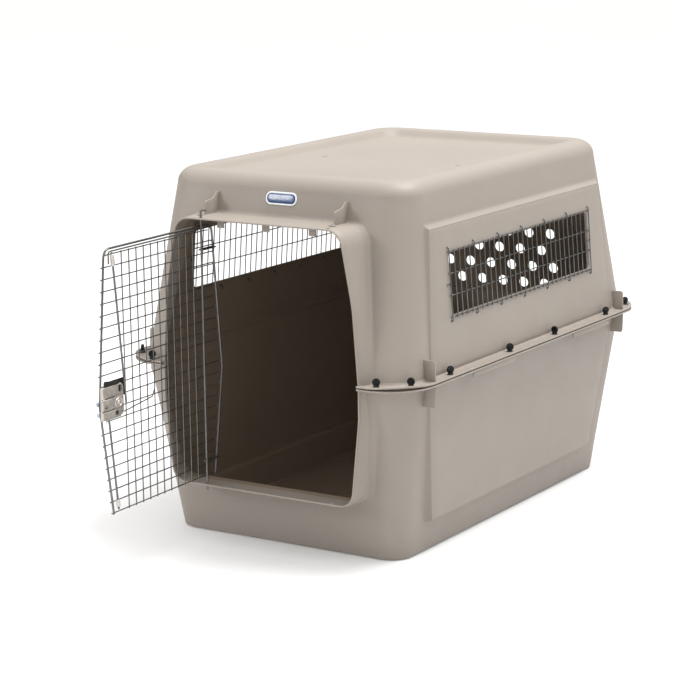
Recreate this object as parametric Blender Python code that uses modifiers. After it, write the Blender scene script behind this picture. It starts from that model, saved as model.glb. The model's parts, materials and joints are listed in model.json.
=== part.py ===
"""Two-shell pet transport carrier with a swing-out wire door and a two-rod squeeze latch.

Metres, +Z up.  The doorway faces -Y, the long sides face +X and -X, and the
underside of the lower shell lies on z = 0 with its centre at the origin.
"""
import bpy
import bmesh
from math import cos, pi, radians, sin, tan
from mathutils import Matrix, Vector

# ---------------------------------------------------------------- driving dimensions
LENGTH = 1.2192                  # overall, flange to flange
WIDTH = 0.804                    # overall, flange to flange
HEIGHT = 0.866                   # underside to stacking rim
WALL = 0.004                     # moulded wall thickness
SEAM_Z = 0.423                   # plane between the two flanges
SEAM_GAP = 0.0004                # clearance between the two flanges
FLANGE = 0.0326                  # reach of the flange beyond the wall
FLANGE_LIFT = 0.0025             # outer edge band stands off the seam
FLANGE_BAND = 0.007              # width of that edge band
CORNER = 0.085                   # plan radius of the wall corners at the seam
BASE_TIGHTER = 0.028             # how much tighter the plan corners are at the base
BASE_HALF_X = 0.3146             # wall half width at the ground
BASE_HALF_Y = 0.5052             # wall half length at the ground
TOP_HALF_X = 0.3281              # wall half width carried up to the rim height
TOP_HALF_Y = 0.4809              # wall half length carried up to the rim height
SEAM_HALF_X = WIDTH / 2 - FLANGE
SEAM_HALF_Y = LENGTH / 2 - FLANGE
TOP_ROUND = 0.038                # rounding between walls and stacking rim
RIM_WIDTH = 0.012                # flat crest of the stacking rim
RECESS_RUN = 0.030               # plan width of the slope into the top recess
RECESS_DEPTH = 0.021             # depth of the top recess
BASE_ROUND = 0.006               # rounding around the underside
SHARP_ANGLE = 35                 # edges sharper than this stay sharp when shaded, degrees

DOORWAY_TOP = 0.772              # outside of the tunnel roof
DOORWAY_SILL = 0.142             # outside of the tunnel floor
LIP_Y = -0.606                   # front edge of the tunnel
TUNNEL_FLARE = 0.22              # sideways growth per unit of tunnel depth
TUNNEL_SPLAY = 0.93              # further growth at the seam, fading out above and below it
UPPER_SPLAY_REACH = 0.20
LOWER_SPLAY_REACH = 0.36
RIM_DEPTH = 0.009                # straight rim at the front of the tunnel
RIM_STEP = 0.0022                # sideways step behind that rim
DOORWAY_HALF = (                 # tunnel half width at a few heights
    (0.216, DOORWAY_TOP),
    (0.2485, 0.600),
    (0.262, 0.430),
    (0.262, 0.345),
    (0.240, DOORWAY_SILL),
)

UPPER_PANEL = (                  # raised side panel: half length, height and raise of its two ends
    (0.4620, 0.433, 0.0030),
    (0.4340, 0.771, 0.0130),
)
UPPER_PANEL_RUN = (0.009, 0.013) # width of its chamfers along the upright edges and the far edge
LOWER_PANEL = (
    (0.4700, 0.413, 0.0035),
    (0.4120, 0.076, 0.0145),
)
LOWER_PANEL_RUN = (0.009, 0.004)
PANEL_FOOT_RUN = 0.003           # chamfer of either panel next to the flange
PANEL_CORNER = 0.020

FIN_THICKNESS = 0.0035
SIDE_FIN_Y = 0.480               # stiffening fins between flange and side wall
FRONT_FIN_X = 0.176              # fins standing on the tunnel roof
STOP_TABS_X = (-0.125, 0.0, 0.125)
STOP_TAB_HALF = 0.009
STOP_TAB_Y = (-0.560, -0.556)
STOP_TAB_LOW_Z = 0.746
SOCKET_SPOT = (0.179, -0.560)    # small bosses on the tunnel roof
SOCKET_RADIUS = 0.0075
SOCKET_BORE = 0.004
SOCKET_HEIGHT = 0.0035
ROOF_DOT_SPOT = (0.190, -0.015)  # moulding dots on the recess floor
ROOF_DOT_RADIUS = 0.006
GRIP_LIP_X = 0.3955              # finger grips under the lower flange
GRIP_LIP_Z = (0.4045, 0.4185)
GRIP_LIP_Y = ((-0.309, -0.104), (0.195, 0.395))

WINDOW_Z = (0.5485, 0.698)       # outer wires of the window grille
WINDOW_HALF_Y = 0.352            # end wires of the window grille
WINDOW_MARGIN = 0.004            # shell aperture inside the outer wires
WINDOW_BARS = 31
WINDOW_RAILS = 4
HOOK_EVERY = 5
GRILLE_WIRE = 0.0014             # wire radius
HOOK_REACH = 0.009               # hooked wire ends beyond the outer rails
HOOK_HOLE = 0.0026

VENT_RADIUS = 0.0135             # rear vent holes
VENT_PITCH_X = 0.0625
VENT_PITCH_Z = 0.0468
VENT_LOW_Z = 0.457
VENT_ROWS = 4

BOLT_RADIUS = 0.003
BOLT_HOLE = 0.0035
BOLT_POINTS = (                  # one quarter of the flange, mirrored to the others
    (0.386, 0.115, 20),
    (0.386, 0.398, 65),
    (0.370, 0.545, 35),
    (0.3075, 0.590, 80),
)

HINGE_X = -0.1575
DOOR_Y = -0.590                  # mid plane of the closed door
DOOR_REST = -88.5                # opening angle of the rest pose, degrees
FRAME_WIRE = 0.0025
MESH_WIRE = 0.0014
ROWS = 23
ROW_PITCH = 0.0262
ROW_LOW_Z = 0.161
COLUMNS = 11
COLUMN_PITCH = 0.0274
FRAME_Y = -0.0054                # frame wire passes in front of the hinge rod
COLUMN_Y = -0.0098               # column wires in front of the frame wire
ROW_Y = -0.0119                  # row wires in front of the column wires
ROW_ENDS = {8: 0.209, 9: 0.1545, 10: 0.1545, 11: 0.1545}   # rows that stop short of the latch's travel
TOP_ROW_SHORT = 0.014            # the top row ends inside the frame's rounded corners
FRAME_TOP = (0.206, 0.752)
FRAME_MID = (0.2385, 0.408)
FRAME_LOW = (0.200, 0.160)

ROD_Y = 0.0                      # latch rods in the hinge plane
ROD_RADIUS = 0.0024
UPPER_ROD = ((0.1490, 0.4040), (0.1843, 0.7440))
LOWER_ROD = ((0.2136, 0.3772), (0.1890, 0.1700))
LEDGE_ROD_X = 0.1872             # where the thrown rods enter the tunnel roof and floor
SILL_ROD_X = 0.1857
ROD_HOLE = 0.0048
HINGE_HOLE = 0.0032
LATCH_TRAVEL = 0.036
RIVET_SPOT = (0.183, 0.4125)
RIVET_HOLE = 0.0034
COVER_OUT = -0.0062              # outer and inner face of the latch cover, before the slider plates
COVER_IN = -0.0047
BADGE_Z = 0.8135
BADGE_TILT = 0.213               # slope of the front wall, radians


# ---------------------------------------------------------------- scene helpers
def clear_scene():
    for obj in list(bpy.data.objects):
        bpy.data.objects.remove(obj, do_unlink=True)
    for coll in list(bpy.data.collections):
        bpy.data.collections.remove(coll)


def new_collection(name):
    coll = bpy.data.collections.new(name)
    bpy.context.scene.collection.children.link(coll)
    return coll


def new_material(name, colour, roughness, metallic):
    mat = bpy.data.materials.new(name)
    mat.use_nodes = True
    shader = mat.node_tree.nodes["Principled BSDF"]
    shader.inputs["Base Color"].default_value = (*colour, 1.0)
    shader.inputs["Roughness"].default_value = roughness
    shader.inputs["Metallic"].default_value = metallic
    mat.diffuse_color = (*colour, 1.0)
    return mat


clear_scene()
PARTS = new_collection("pet_transport_carrier")
CUTTERS = new_collection("construction_solids")
SHELL_PLASTIC = new_material("shell_plastic", (0.40, 0.35, 0.29), 0.55, 0.0)
BLACK_PLASTIC = new_material("fastener_plastic", (0.02, 0.02, 0.022), 0.45, 0.0)
ZINC_WIRE = new_material("zinc_wire", (0.55, 0.56, 0.57), 0.35, 1.0)
STAMPED_STEEL = new_material("stamped_steel", (0.62, 0.60, 0.57), 0.32, 1.0)
BADGE_PALE = new_material("badge_pale", (0.80, 0.81, 0.82), 0.40, 0.0)
BADGE_BLUE = new_material("badge_blue", (0.05, 0.14, 0.33), 0.35, 0.0)


def mesh_object(name, bm, material=None, helper=False):
    bmesh.ops.remove_doubles(bm, verts=bm.verts, dist=0.000001)
    mesh = bpy.data.meshes.new(name)
    bm.to_mesh(mesh)
    bm.free()
    obj = bpy.data.objects.new(name, mesh)
    if helper:
        CUTTERS.objects.link(obj)
        obj.hide_render = True
        obj.display_type = "WIRE"
    else:
        PARTS.objects.link(obj)
        obj.data.materials.append(material)
    return obj


def shading_nodes():
    """Node group that shades a mesh smooth but keeps its sharp edges sharp."""
    group = bpy.data.node_groups.new("smooth_by_angle", "GeometryNodeTree")
    group.interface.new_socket("Mesh", in_out="INPUT", socket_type="NodeSocketGeometry")
    group.interface.new_socket("Mesh", in_out="OUTPUT", socket_type="NodeSocketGeometry")
    start = group.nodes.new("NodeGroupInput")
    end = group.nodes.new("NodeGroupOutput")
    angle = group.nodes.new("GeometryNodeInputMeshEdgeAngle")
    sharp = group.nodes.new("FunctionNodeCompare")
    sharp.operation = "LESS_EQUAL"
    sharp.inputs["B"].default_value = radians(SHARP_ANGLE)
    faces = group.nodes.new("GeometryNodeSetShadeSmooth")
    edges = group.nodes.new("GeometryNodeSetShadeSmooth")
    edges.domain = "EDGE"
    group.links.new(angle.outputs["Unsigned Angle"], sharp.inputs["A"])
    group.links.new(sharp.outputs["Result"], edges.inputs["Shade Smooth"])
    group.links.new(start.outputs["Mesh"], faces.inputs["Geometry"])
    group.links.new(faces.outputs["Geometry"], edges.inputs["Geometry"])
    group.links.new(edges.outputs["Geometry"], end.inputs["Mesh"])
    return group


def shade_parts():
    group = shading_nodes()
    for obj in PARTS.objects:
        mod = obj.modifiers.new("shade_smooth", "NODES")
        mod.node_group = group


def boolean(obj, tool, operation):
    mod = obj.modifiers.new(operation.lower() + "_" + tool.name, "BOOLEAN")
    mod.operation = operation
    mod.solver = "EXACT"
    mod.object = tool
    return mod


# ---------------------------------------------------------------- outlines and lofts
def fillet(points, radii, steps):
    """Closed 2-D outline with each corner rounded to its own radius."""
    outline = []
    count = len(points)
    for index, radius in enumerate(radii):
        here = Vector(points[index])
        back = (Vector(points[index - 1]) - here).normalized()
        ahead = (Vector(points[(index + 1) % count]) - here).normalized()
        if radius <= 0:
            outline.append(here)
            continue
        half = back.angle(ahead) / 2
        centre = here + (back + ahead).normalized() * radius / sin(half)
        start = here + back * radius / tan(half) - centre
        end = here + ahead * radius / tan(half) - centre
        sweep = start.angle_signed(end)
        for step in range(steps + 1):
            turned = start.copy()
            turned.rotate(Matrix.Rotation(-sweep * step / steps, 2))
            outline.append(centre + turned)
    return outline


def rounded_rectangle(half_x, half_y, radius, z, steps=8):
    ring = []
    for quarter in range(4):
        sx = (1, -1, -1, 1)[quarter]
        sy = (1, 1, -1, -1)[quarter]
        for step in range(steps + 1):
            angle = (quarter + step / steps) * pi / 2
            x = sx * (half_x - radius) + radius * cos(angle)
            y = sy * (half_y - radius) + radius * sin(angle)
            ring.append(Vector((x, y, z)))
    return ring


def add_loft(bm, rings, cap_start=True, cap_end=True):
    """Quads between matching closed rings, with optional flat ends."""
    rows = [[bm.verts.new(point) for point in ring] for ring in rings]
    faces = []
    for lower, upper in zip(rows, rows[1:]):
        count = len(lower)
        for index in range(count):
            after = (index + 1) % count
            quad = (lower[index], lower[after], upper[after], upper[index])
            faces.append(bm.faces.new(quad))
    if cap_start:
        faces.append(bm.faces.new(list(reversed(rows[0]))))
    if cap_end:
        faces.append(bm.faces.new(rows[-1]))
    if cap_start and cap_end:
        bmesh.ops.recalc_face_normals(bm, faces=faces)
    return faces


def add_box(bm, low, high, matrix=None):
    centre = [(a + b) / 2 for a, b in zip(low, high)]
    size = [b - a for a, b in zip(low, high)]
    place = Matrix.Translation(centre) @ Matrix.Diagonal((*size, 1.0))
    if matrix is not None:
        place = matrix @ place
    return bmesh.ops.create_cube(bm, size=1.0, matrix=place)["verts"]


def add_cylinder(bm, start, end, radius, segments, end_radius=None):
    start = Vector(start)
    span = Vector(end) - start
    turn = span.to_track_quat("Z", "Y").to_matrix().to_4x4()
    place = Matrix.Translation(start + span / 2) @ turn
    tip = radius if end_radius is None else end_radius
    bmesh.ops.create_cone(
        bm, cap_ends=True, segments=segments, radius1=radius,
        radius2=tip, depth=span.length, matrix=place)


def rounded_path(points, radius, steps=4):
    """Open 3-D polyline with its inner corners rounded."""
    path = [Vector(points[0])]
    for index in range(1, len(points) - 1):
        here = Vector(points[index])
        back = (Vector(points[index - 1]) - here).normalized()
        ahead = (Vector(points[index + 1]) - here).normalized()
        half = back.angle(ahead) / 2
        centre = here + (back + ahead).normalized() * radius / sin(half)
        start = here + back * radius / tan(half) - centre
        axis = back.cross(ahead).normalized()
        total = pi - 2 * half
        for step in range(steps + 1):
            turned = Matrix.Rotation(-total * step / steps, 3, axis) @ start
            path.append(centre + turned)
    path.append(Vector(points[-1]))
    return path


def add_wire(bm, path, radius, resolution=2):
    """Round wire with filled ends swept along a polyline."""
    curve = bpy.data.curves.new("wire_path", "CURVE")
    curve.dimensions = "3D"
    curve.bevel_depth = radius
    curve.bevel_resolution = resolution
    curve.use_fill_caps = True
    spline = curve.splines.new("POLY")
    spline.points.add(len(path) - 1)
    for point, place in zip(spline.points, path):
        point.co = (*place, 1.0)
    carrier = bpy.data.objects.new("wire_path", curve)
    CUTTERS.objects.link(carrier)
    graph = bpy.context.evaluated_depsgraph_get()
    mesh = bpy.data.meshes.new_from_object(carrier.evaluated_get(graph))
    bpy.data.objects.remove(carrier, do_unlink=True)
    bm.from_mesh(mesh)
    bmesh.ops.remove_doubles(bm, verts=bm.verts, dist=0.00001)


# ---------------------------------------------------------------- wall planes
def upper_half(z):
    """Outer wall half sizes of the upper shell at a height."""
    share = (z - SEAM_Z) / (HEIGHT - SEAM_Z)
    half_x = SEAM_HALF_X + (TOP_HALF_X - SEAM_HALF_X) * share
    half_y = SEAM_HALF_Y + (TOP_HALF_Y - SEAM_HALF_Y) * share
    return half_x, half_y


def lower_half(z):
    """Outer wall half sizes of the lower shell at a height."""
    share = z / SEAM_Z
    half_x = BASE_HALF_X + (SEAM_HALF_X - BASE_HALF_X) * share
    half_y = BASE_HALF_Y + (SEAM_HALF_Y - BASE_HALF_Y) * share
    return half_x, half_y


def lower_radius(z):
    """Plan radius of the tub's corners, tighter towards the base."""
    return CORNER - BASE_TIGHTER * (1 - z / SEAM_Z)


def flange_rings(top_z, lift):
    """Rings from the flange edge in to the foot of the wall."""
    reach_x = WIDTH / 2
    reach_y = LENGTH / 2
    radius = CORNER + FLANGE
    inner = FLANGE_BAND + abs(lift)
    rings = [
        rounded_rectangle(reach_x, reach_y, radius, top_z + lift),
        rounded_rectangle(
            reach_x - FLANGE_BAND, reach_y - FLANGE_BAND, radius - FLANGE_BAND, top_z + lift),
        rounded_rectangle(reach_x - inner, reach_y - inner, radius - inner, top_z),
        rounded_rectangle(
            SEAM_HALF_X + 0.004, SEAM_HALF_Y + 0.004, CORNER + 0.004, top_z),
    ]
    return rings


def upper_rings(shrink=0.0):
    """Wall, top rounding, stacking rim and recess of the upper shell."""
    rings = []
    straight_z = HEIGHT - TOP_ROUND
    for z in (SEAM_Z + 0.0085, straight_z):
        half_x, half_y = upper_half(z)
        radius = CORNER - 0.010 * (z - SEAM_Z) / (HEIGHT - SEAM_Z)
        rings.append(rounded_rectangle(
            half_x - shrink, half_y - shrink, radius - shrink, z))
    half_x, half_y = upper_half(straight_z)
    inset = 0.0
    for step in range(1, 6):
        angle = step / 5 * pi / 2
        inset = TOP_ROUND * (1 - cos(angle)) + 0.001 * step / 5
        z = straight_z + TOP_ROUND * sin(angle) - shrink * step / 5
        rings.append(rounded_rectangle(
            half_x - inset - shrink, half_y - inset - shrink, 0.075 - inset * 0.7 - shrink, z))
    return rings, half_x - inset, half_y - inset


def build_upper_skin():
    bm = bmesh.new()
    rings = flange_rings(SEAM_Z + SEAM_GAP / 2 + WALL, FLANGE_LIFT)
    walls, crest_x, crest_y = upper_rings()
    rings += walls
    inner_x = crest_x - RIM_WIDTH
    inner_y = crest_y - RIM_WIDTH
    rings.append(rounded_rectangle(inner_x, inner_y, 0.042, HEIGHT))
    for share in (0.2, 0.5, 0.8, 1.0):
        run = RECESS_RUN * share
        drop = RECESS_DEPTH * (1 - cos(share * pi)) / 2
        rings.append(rounded_rectangle(inner_x - run, inner_y - run, 0.040 - run * 0.4, HEIGHT - drop))
    add_loft(bm, rings, cap_start=False)
    shell = mesh_object("upper_shell", bm, SHELL_PLASTIC)
    thicken(shell)
    return shell


def build_lower_skin():
    bm = bmesh.new()
    rings = flange_rings(SEAM_Z - SEAM_GAP / 2 - WALL, -FLANGE_LIFT * 0.6)
    for z in (SEAM_Z - 0.0085, BASE_ROUND):
        half_x, half_y = lower_half(z)
        rings.append(rounded_rectangle(half_x, half_y, lower_radius(z), z))
    half_x, half_y = lower_half(BASE_ROUND)
    for step in range(1, 4):
        angle = step / 3 * pi / 2
        inset = BASE_ROUND * (1 - cos(angle))
        z = BASE_ROUND * (1 - sin(angle))
        rings.append(rounded_rectangle(half_x - inset, half_y - inset, lower_radius(BASE_ROUND) - inset, z))
    add_loft(bm, rings, cap_start=False)
    shell = mesh_object("lower_shell", bm, SHELL_PLASTIC)
    thicken(shell)
    return shell


def thicken(shell):
    mod = shell.modifiers.new("moulded_wall", "SOLIDIFY")
    mod.thickness = WALL
    mod.offset = -1.0
    mod.use_even_offset = True
    centre = sum((v.co.z for v in shell.data.vertices)) / len(shell.data.vertices)
    face = max(shell.data.polygons, key=lambda item: item.area)
    if face.normal.z * (face.center.z - centre) < 0:
        shell.data.flip_normals()


# ---------------------------------------------------------------- doorway tunnel
def doorway_outline(part, inset):
    """Front outline of the tunnel for one shell, as (x, z) corners with radii."""
    halves = [(x - inset, z) for x, z in DOORWAY_HALF]
    if part == "upper":
        low = SEAM_Z + SEAM_GAP / 2 if inset == 0 else SEAM_Z - 0.05
        right = [(halves[2][0], low), halves[1], (halves[0][0], DOORWAY_TOP - inset)]
        radii = [0.0, 0.30, 0.042 - inset]
    else:
        low = SEAM_Z - SEAM_GAP / 2 if inset == 0 else SEAM_Z + 0.05
        right = [(halves[2][0], low), halves[3], (halves[4][0], DOORWAY_SILL + inset)]
        radii = [0.0, 0.20, 0.036 - inset]
    left = [(-x, z) for x, z in reversed(right)]
    points = right + left
    return fillet(points, radii + radii[::-1], 6)


def splay(z):
    """Extra sideways growth per unit of depth at a height."""
    reach = UPPER_SPLAY_REACH if z > SEAM_Z else LOWER_SPLAY_REACH
    return TUNNEL_SPLAY * max(0.0, 1.0 - abs(z - SEAM_Z) / reach) ** 2


def flared_ring(outline, y, half_fn):
    """Tunnel section at a depth, or where the front wall stands when y is None."""
    ring = []
    for x, z in outline:
        wall_y = WALL - half_fn(z)[1]
        here = wall_y if y is None else y
        run = here - LIP_Y - RIM_DEPTH
        grow = 0.0
        if run >= 0:
            grow = RIM_STEP + TUNNEL_FLARE * run + splay(z) * min(run, wall_y - LIP_Y - RIM_DEPTH)
        side = max(-1.0, min(1.0, x / 0.15))
        ring.append(Vector((x + side * grow, here, z)))
    return ring


def tunnel_solid(name, part, inset, front_y, end_y):
    outline = doorway_outline(part, inset)
    half_fn = upper_half if part == "upper" else lower_half
    bm = bmesh.new()
    depths = (front_y, LIP_Y + 0.006, LIP_Y + RIM_DEPTH, None, end_y)
    add_loft(bm, [flared_ring(outline, y, half_fn) for y in depths])
    return mesh_object(name, bm, helper=True)


def build_tunnel(part):
    """Solid tunnel sleeve trimmed to end inside the thickness of the front wall."""
    tunnel = tunnel_solid(part + "_tunnel", part, 0.0, LIP_Y, -0.470)
    boolean(tunnel, CAVITIES[part], "DIFFERENCE")
    return tunnel


def build_doorway_cutter(part):
    return tunnel_solid(part + "_doorway", part, WALL, LIP_Y - 0.020, -0.455)


def build_cavity(part):
    """Closed volume reaching half way into the walls, used to trim added solids."""
    bm = bmesh.new()
    inset = WALL / 2
    if part == "upper":
        rings, _, _ = upper_rings(inset)
        half_x, half_y = upper_half(SEAM_Z - 0.05)
        first = rounded_rectangle(half_x - inset, half_y - inset, CORNER - inset, SEAM_Z - 0.05)
        add_loft(bm, [first] + rings)
    else:
        rings = []
        for z in (SEAM_Z + 0.05, inset):
            half_x, half_y = lower_half(z)
            rings.append(rounded_rectangle(
                half_x - inset, half_y - inset, lower_radius(z) - inset, z))
        add_loft(bm, rings)
    return mesh_object(part + "_cavity", bm, helper=True)


# ---------------------------------------------------------------- additions to the shells
def panel_raise(panel, z):
    (_, near_z, near_raise), (_, far_z, far_raise) = panel
    share = (z - near_z) / (far_z - near_z)
    return near_raise + (far_raise - near_raise) * share


def wall_panel(bm, side, half_fn, panel, runs):
    """Raised panel with chamfered borders lying on one side wall."""
    (near, near_z, _), (far, far_z, _) = panel
    away = 1 if far_z > near_z else -1
    rings = []
    for inset, depth in ((0, WALL / 2), (0, 0.0), (1, None)):
        foot_z = near_z + away * PANEL_FOOT_RUN * inset
        head_z = far_z - away * runs[1] * inset
        foot = near - runs[0] * inset
        head = far - runs[0] * inset
        corners = [(-foot, foot_z), (foot, foot_z), (head, head_z), (-head, head_z)]
        ring = []
        for y, z in fillet(corners, [0.0, 0.0, PANEL_CORNER, PANEL_CORNER], 4):
            off = panel_raise(panel, z) if depth is None else -depth
            ring.append(Vector((side * (half_fn(z)[0] + off), y, z)))
        rings.append(ring)
    add_loft(bm, rings)


def plate_across_x(bm, x, thickness, profile):
    """Plate standing in the YZ plane."""
    rings = [[Vector((x + off, y, z)) for y, z in profile] for off in (-thickness / 2, thickness / 2)]
    add_loft(bm, rings)


def plate_across_y(bm, y, thickness, profile):
    """Plate standing in the XZ plane."""
    rings = [[Vector((x, y + off, z)) for x, z in profile] for off in (-thickness / 2, thickness / 2)]
    add_loft(bm, rings)


def side_fins(bm, half_fn, foot_z, shoulder_z, head_z):
    """Two upright fins on each side, standing on one flange."""
    for side in (1, -1):
        foot_x = half_fn(foot_z)[0] - WALL / 2
        head_x = half_fn(head_z)[0] - WALL / 2
        for end in (1, -1):
            plate_across_y(bm, end * SIDE_FIN_Y, FIN_THICKNESS, (
                (side * foot_x, foot_z), (side * 0.396, foot_z),
                (side * 0.3945, shoulder_z), (side * 0.390, head_z), (side * head_x, head_z)))


def front_fins(bm):
    """Fins with stepped tops between the tunnel roof and the front wall."""
    foot_z = 0.770
    head_z = 0.819
    foot_y = -(upper_half(foot_z)[1] - WALL / 2)
    head_y = -(upper_half(head_z)[1] - WALL / 2)
    profile = (
        (foot_y, foot_z), (-0.546, foot_z), (-0.546, 0.799), (-0.541, 0.803),
        (-0.520, 0.806), (-0.508, 0.811), (-0.503, head_z), (head_y, head_z))
    for side in (1, -1):
        plate_across_x(bm, side * FRONT_FIN_X, FIN_THICKNESS, profile)


def upper_additions():
    bm = bmesh.new()
    recess_z = HEIGHT - RECESS_DEPTH
    for side in (1, -1):
        wall_panel(bm, side, upper_half, UPPER_PANEL, UPPER_PANEL_RUN)
        x, y = side * ROOF_DOT_SPOT[0], ROOF_DOT_SPOT[1]
        add_cylinder(bm, (x, y, recess_z - 0.002), (x, y, recess_z + 0.0015), ROOF_DOT_RADIUS, 10)
        x, y = side * SOCKET_SPOT[0], SOCKET_SPOT[1]
        add_cylinder(bm, (x, y, DOORWAY_TOP - 0.002), (x, y, DOORWAY_TOP + SOCKET_HEIGHT),
                     SOCKET_RADIUS, 12)
    side_fins(bm, upper_half, 0.4255, 0.470, 0.474)
    front_fins(bm)
    for x in STOP_TABS_X:
        add_box(bm, (x - STOP_TAB_HALF, STOP_TAB_Y[0], STOP_TAB_LOW_Z),
                (x + STOP_TAB_HALF, STOP_TAB_Y[1], DOORWAY_TOP - WALL / 2))
    return mesh_object("upper_additions", bm, helper=True)


def lower_additions():
    bm = bmesh.new()
    for side in (1, -1):
        wall_panel(bm, side, lower_half, LOWER_PANEL, LOWER_PANEL_RUN)
        near_x = side * GRIP_LIP_X - 0.0015
        for y_from, y_to in GRIP_LIP_Y:
            add_box(bm, (near_x, y_from, GRIP_LIP_Z[0]), (near_x + 0.003, y_to, GRIP_LIP_Z[1]))
    side_fins(bm, lower_half, 0.4205, 0.372, 0.368)
    return mesh_object("lower_additions", bm, helper=True)


# ---------------------------------------------------------------- holes
def cut_bolts(bm):
    for x, y, _ in BOLT_POINTS:
        for sx in (1, -1):
            for sy in (1, -1):
                add_cylinder(bm, (sx * x, sy * y, SEAM_Z - 0.020),
                             (sx * x, sy * y, SEAM_Z + 0.020), BOLT_HOLE, 8)


def upper_holes():
    bm = bmesh.new()
    cut_bolts(bm)
    low_z, high_z = WINDOW_Z
    margin = WINDOW_MARGIN
    half_y = WINDOW_HALF_Y - margin
    outline = fillet([
        (-half_y, low_z + margin), (half_y, low_z + margin),
        (half_y, high_z - margin), (-half_y, high_z - margin)], [0.010] * 4, 3)
    for side in (1, -1):
        rings = [[Vector((side * (upper_half(z)[0] + off), y, z)) for y, z in outline]
                 for off in (-0.020, 0.020)]
        add_loft(bm, rings)
        for y, z in hook_points():
            x = upper_half(z)[0]
            add_cylinder(bm, (side * (x - 0.020), y, z), (side * (x + 0.020), y, z), HOOK_HOLE, 6)
    for row in range(VENT_ROWS):
        count = 5 if row % 2 == 0 else 6
        for index in range(count):
            x = (index - (count - 1) / 2) * VENT_PITCH_X
            z = VENT_LOW_Z + row * VENT_PITCH_Z
            y = upper_half(z)[1]
            add_cylinder(bm, (x, y - 0.030, z), (x, y + 0.030, z), VENT_RADIUS, 14)
    hinge_and_rod_holes(bm, DOORWAY_TOP, LEDGE_ROD_X)
    for side in (1, -1):
        x, y = side * SOCKET_SPOT[0], SOCKET_SPOT[1]
        add_cylinder(bm, (x, y, DOORWAY_TOP - 0.02), (x, y, DOORWAY_TOP + 0.02), SOCKET_BORE, 8)
    return mesh_object("upper_holes", bm, helper=True)


def lower_holes():
    bm = bmesh.new()
    cut_bolts(bm)
    hinge_and_rod_holes(bm, DOORWAY_SILL, SILL_ROD_X)
    return mesh_object("lower_holes", bm, helper=True)


def hinge_and_rod_holes(bm, level, rod_x):
    rod_y = DOOR_Y + ROD_Y
    for x, y, radius, segments in ((HINGE_X, DOOR_Y, HINGE_HOLE, 8), (rod_x, rod_y, ROD_HOLE, 10)):
        add_cylinder(bm, (x, y, level - 0.015), (x, y, level + 0.015), radius, segments)


def hook_points():
    """(y, z) of the holes that take the bent wire ends of a window grille."""
    pitch = 2 * WINDOW_HALF_Y / (WINDOW_BARS - 1)
    points = []
    for index in range(0, WINDOW_BARS, HOOK_EVERY):
        y = -WINDOW_HALF_Y + index * pitch
        points += [(y, WINDOW_Z[0] - HOOK_REACH), (y, WINDOW_Z[1] + HOOK_REACH)]
    middle = sum(WINDOW_Z) / 2
    outer = WINDOW_HALF_Y + HOOK_REACH + 0.001
    points += [(-outer, middle), (outer, middle)]
    return points


# ---------------------------------------------------------------- window grilles
def build_grille(name, side):
    """Welded wire grille hooked through the raised panel of the upper shell."""
    low_z, high_z = WINDOW_Z
    lay = 0.0004 + GRILLE_WIRE
    proud = lay + 2 * GRILLE_WIRE - 0.0007

    def spot(off, y, z):
        """Point at a distance off the panel face, or behind the wall when off is None."""
        if off is None:
            return Vector((side * (upper_half(z)[0] - WALL - lay), y, z))
        return Vector((side * (upper_half(z)[0] + panel_raise(UPPER_PANEL, z) + off), y, z))

    rails = bmesh.new()
    for index in range(WINDOW_RAILS):
        z = low_z + (high_z - low_z) * index / (WINDOW_RAILS - 1)
        over = WINDOW_HALF_Y + 0.003
        add_cylinder(rails, spot(lay, -over, z), spot(lay, over, z), GRILLE_WIRE, 4)
    grille = mesh_object(name, rails, ZINC_WIRE)

    bars = bmesh.new()
    pitch = 2 * WINDOW_HALF_Y / (WINDOW_BARS - 1)
    for index in range(WINDOW_BARS):
        y = -WINDOW_HALF_Y + index * pitch
        if index % HOOK_EVERY:
            add_cylinder(bars, spot(proud, y, low_z - 0.003), spot(proud, y, high_z + 0.003),
                         GRILLE_WIRE, 4)
            continue
        path = (
            spot(None, y, low_z - 2 * HOOK_REACH), spot(None, y, low_z - HOOK_REACH),
            spot(proud, y, low_z - HOOK_REACH), spot(proud, y, high_z + HOOK_REACH),
            spot(None, y, high_z + HOOK_REACH), spot(None, y, high_z + 2 * HOOK_REACH))
        add_wire(bars, path, GRILLE_WIRE, 0)
    tool = mesh_object(name + "_bars", bars, helper=True)
    boolean(grille, tool, "UNION")

    middle = (low_z + high_z) / 2
    ends = bmesh.new()
    for end in (1, -1):
        outer = end * (WINDOW_HALF_Y + HOOK_REACH + 0.001)
        path = (
            spot(lay, end * (WINDOW_HALF_Y - 0.004), middle), spot(lay, outer, middle),
            spot(None, outer, middle), spot(None, outer + end * HOOK_REACH, middle))
        add_wire(ends, path, GRILLE_WIRE, 0)
    tool = mesh_object(name + "_ends", ends, helper=True)
    boolean(grille, tool, "UNION")
    return grille


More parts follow.
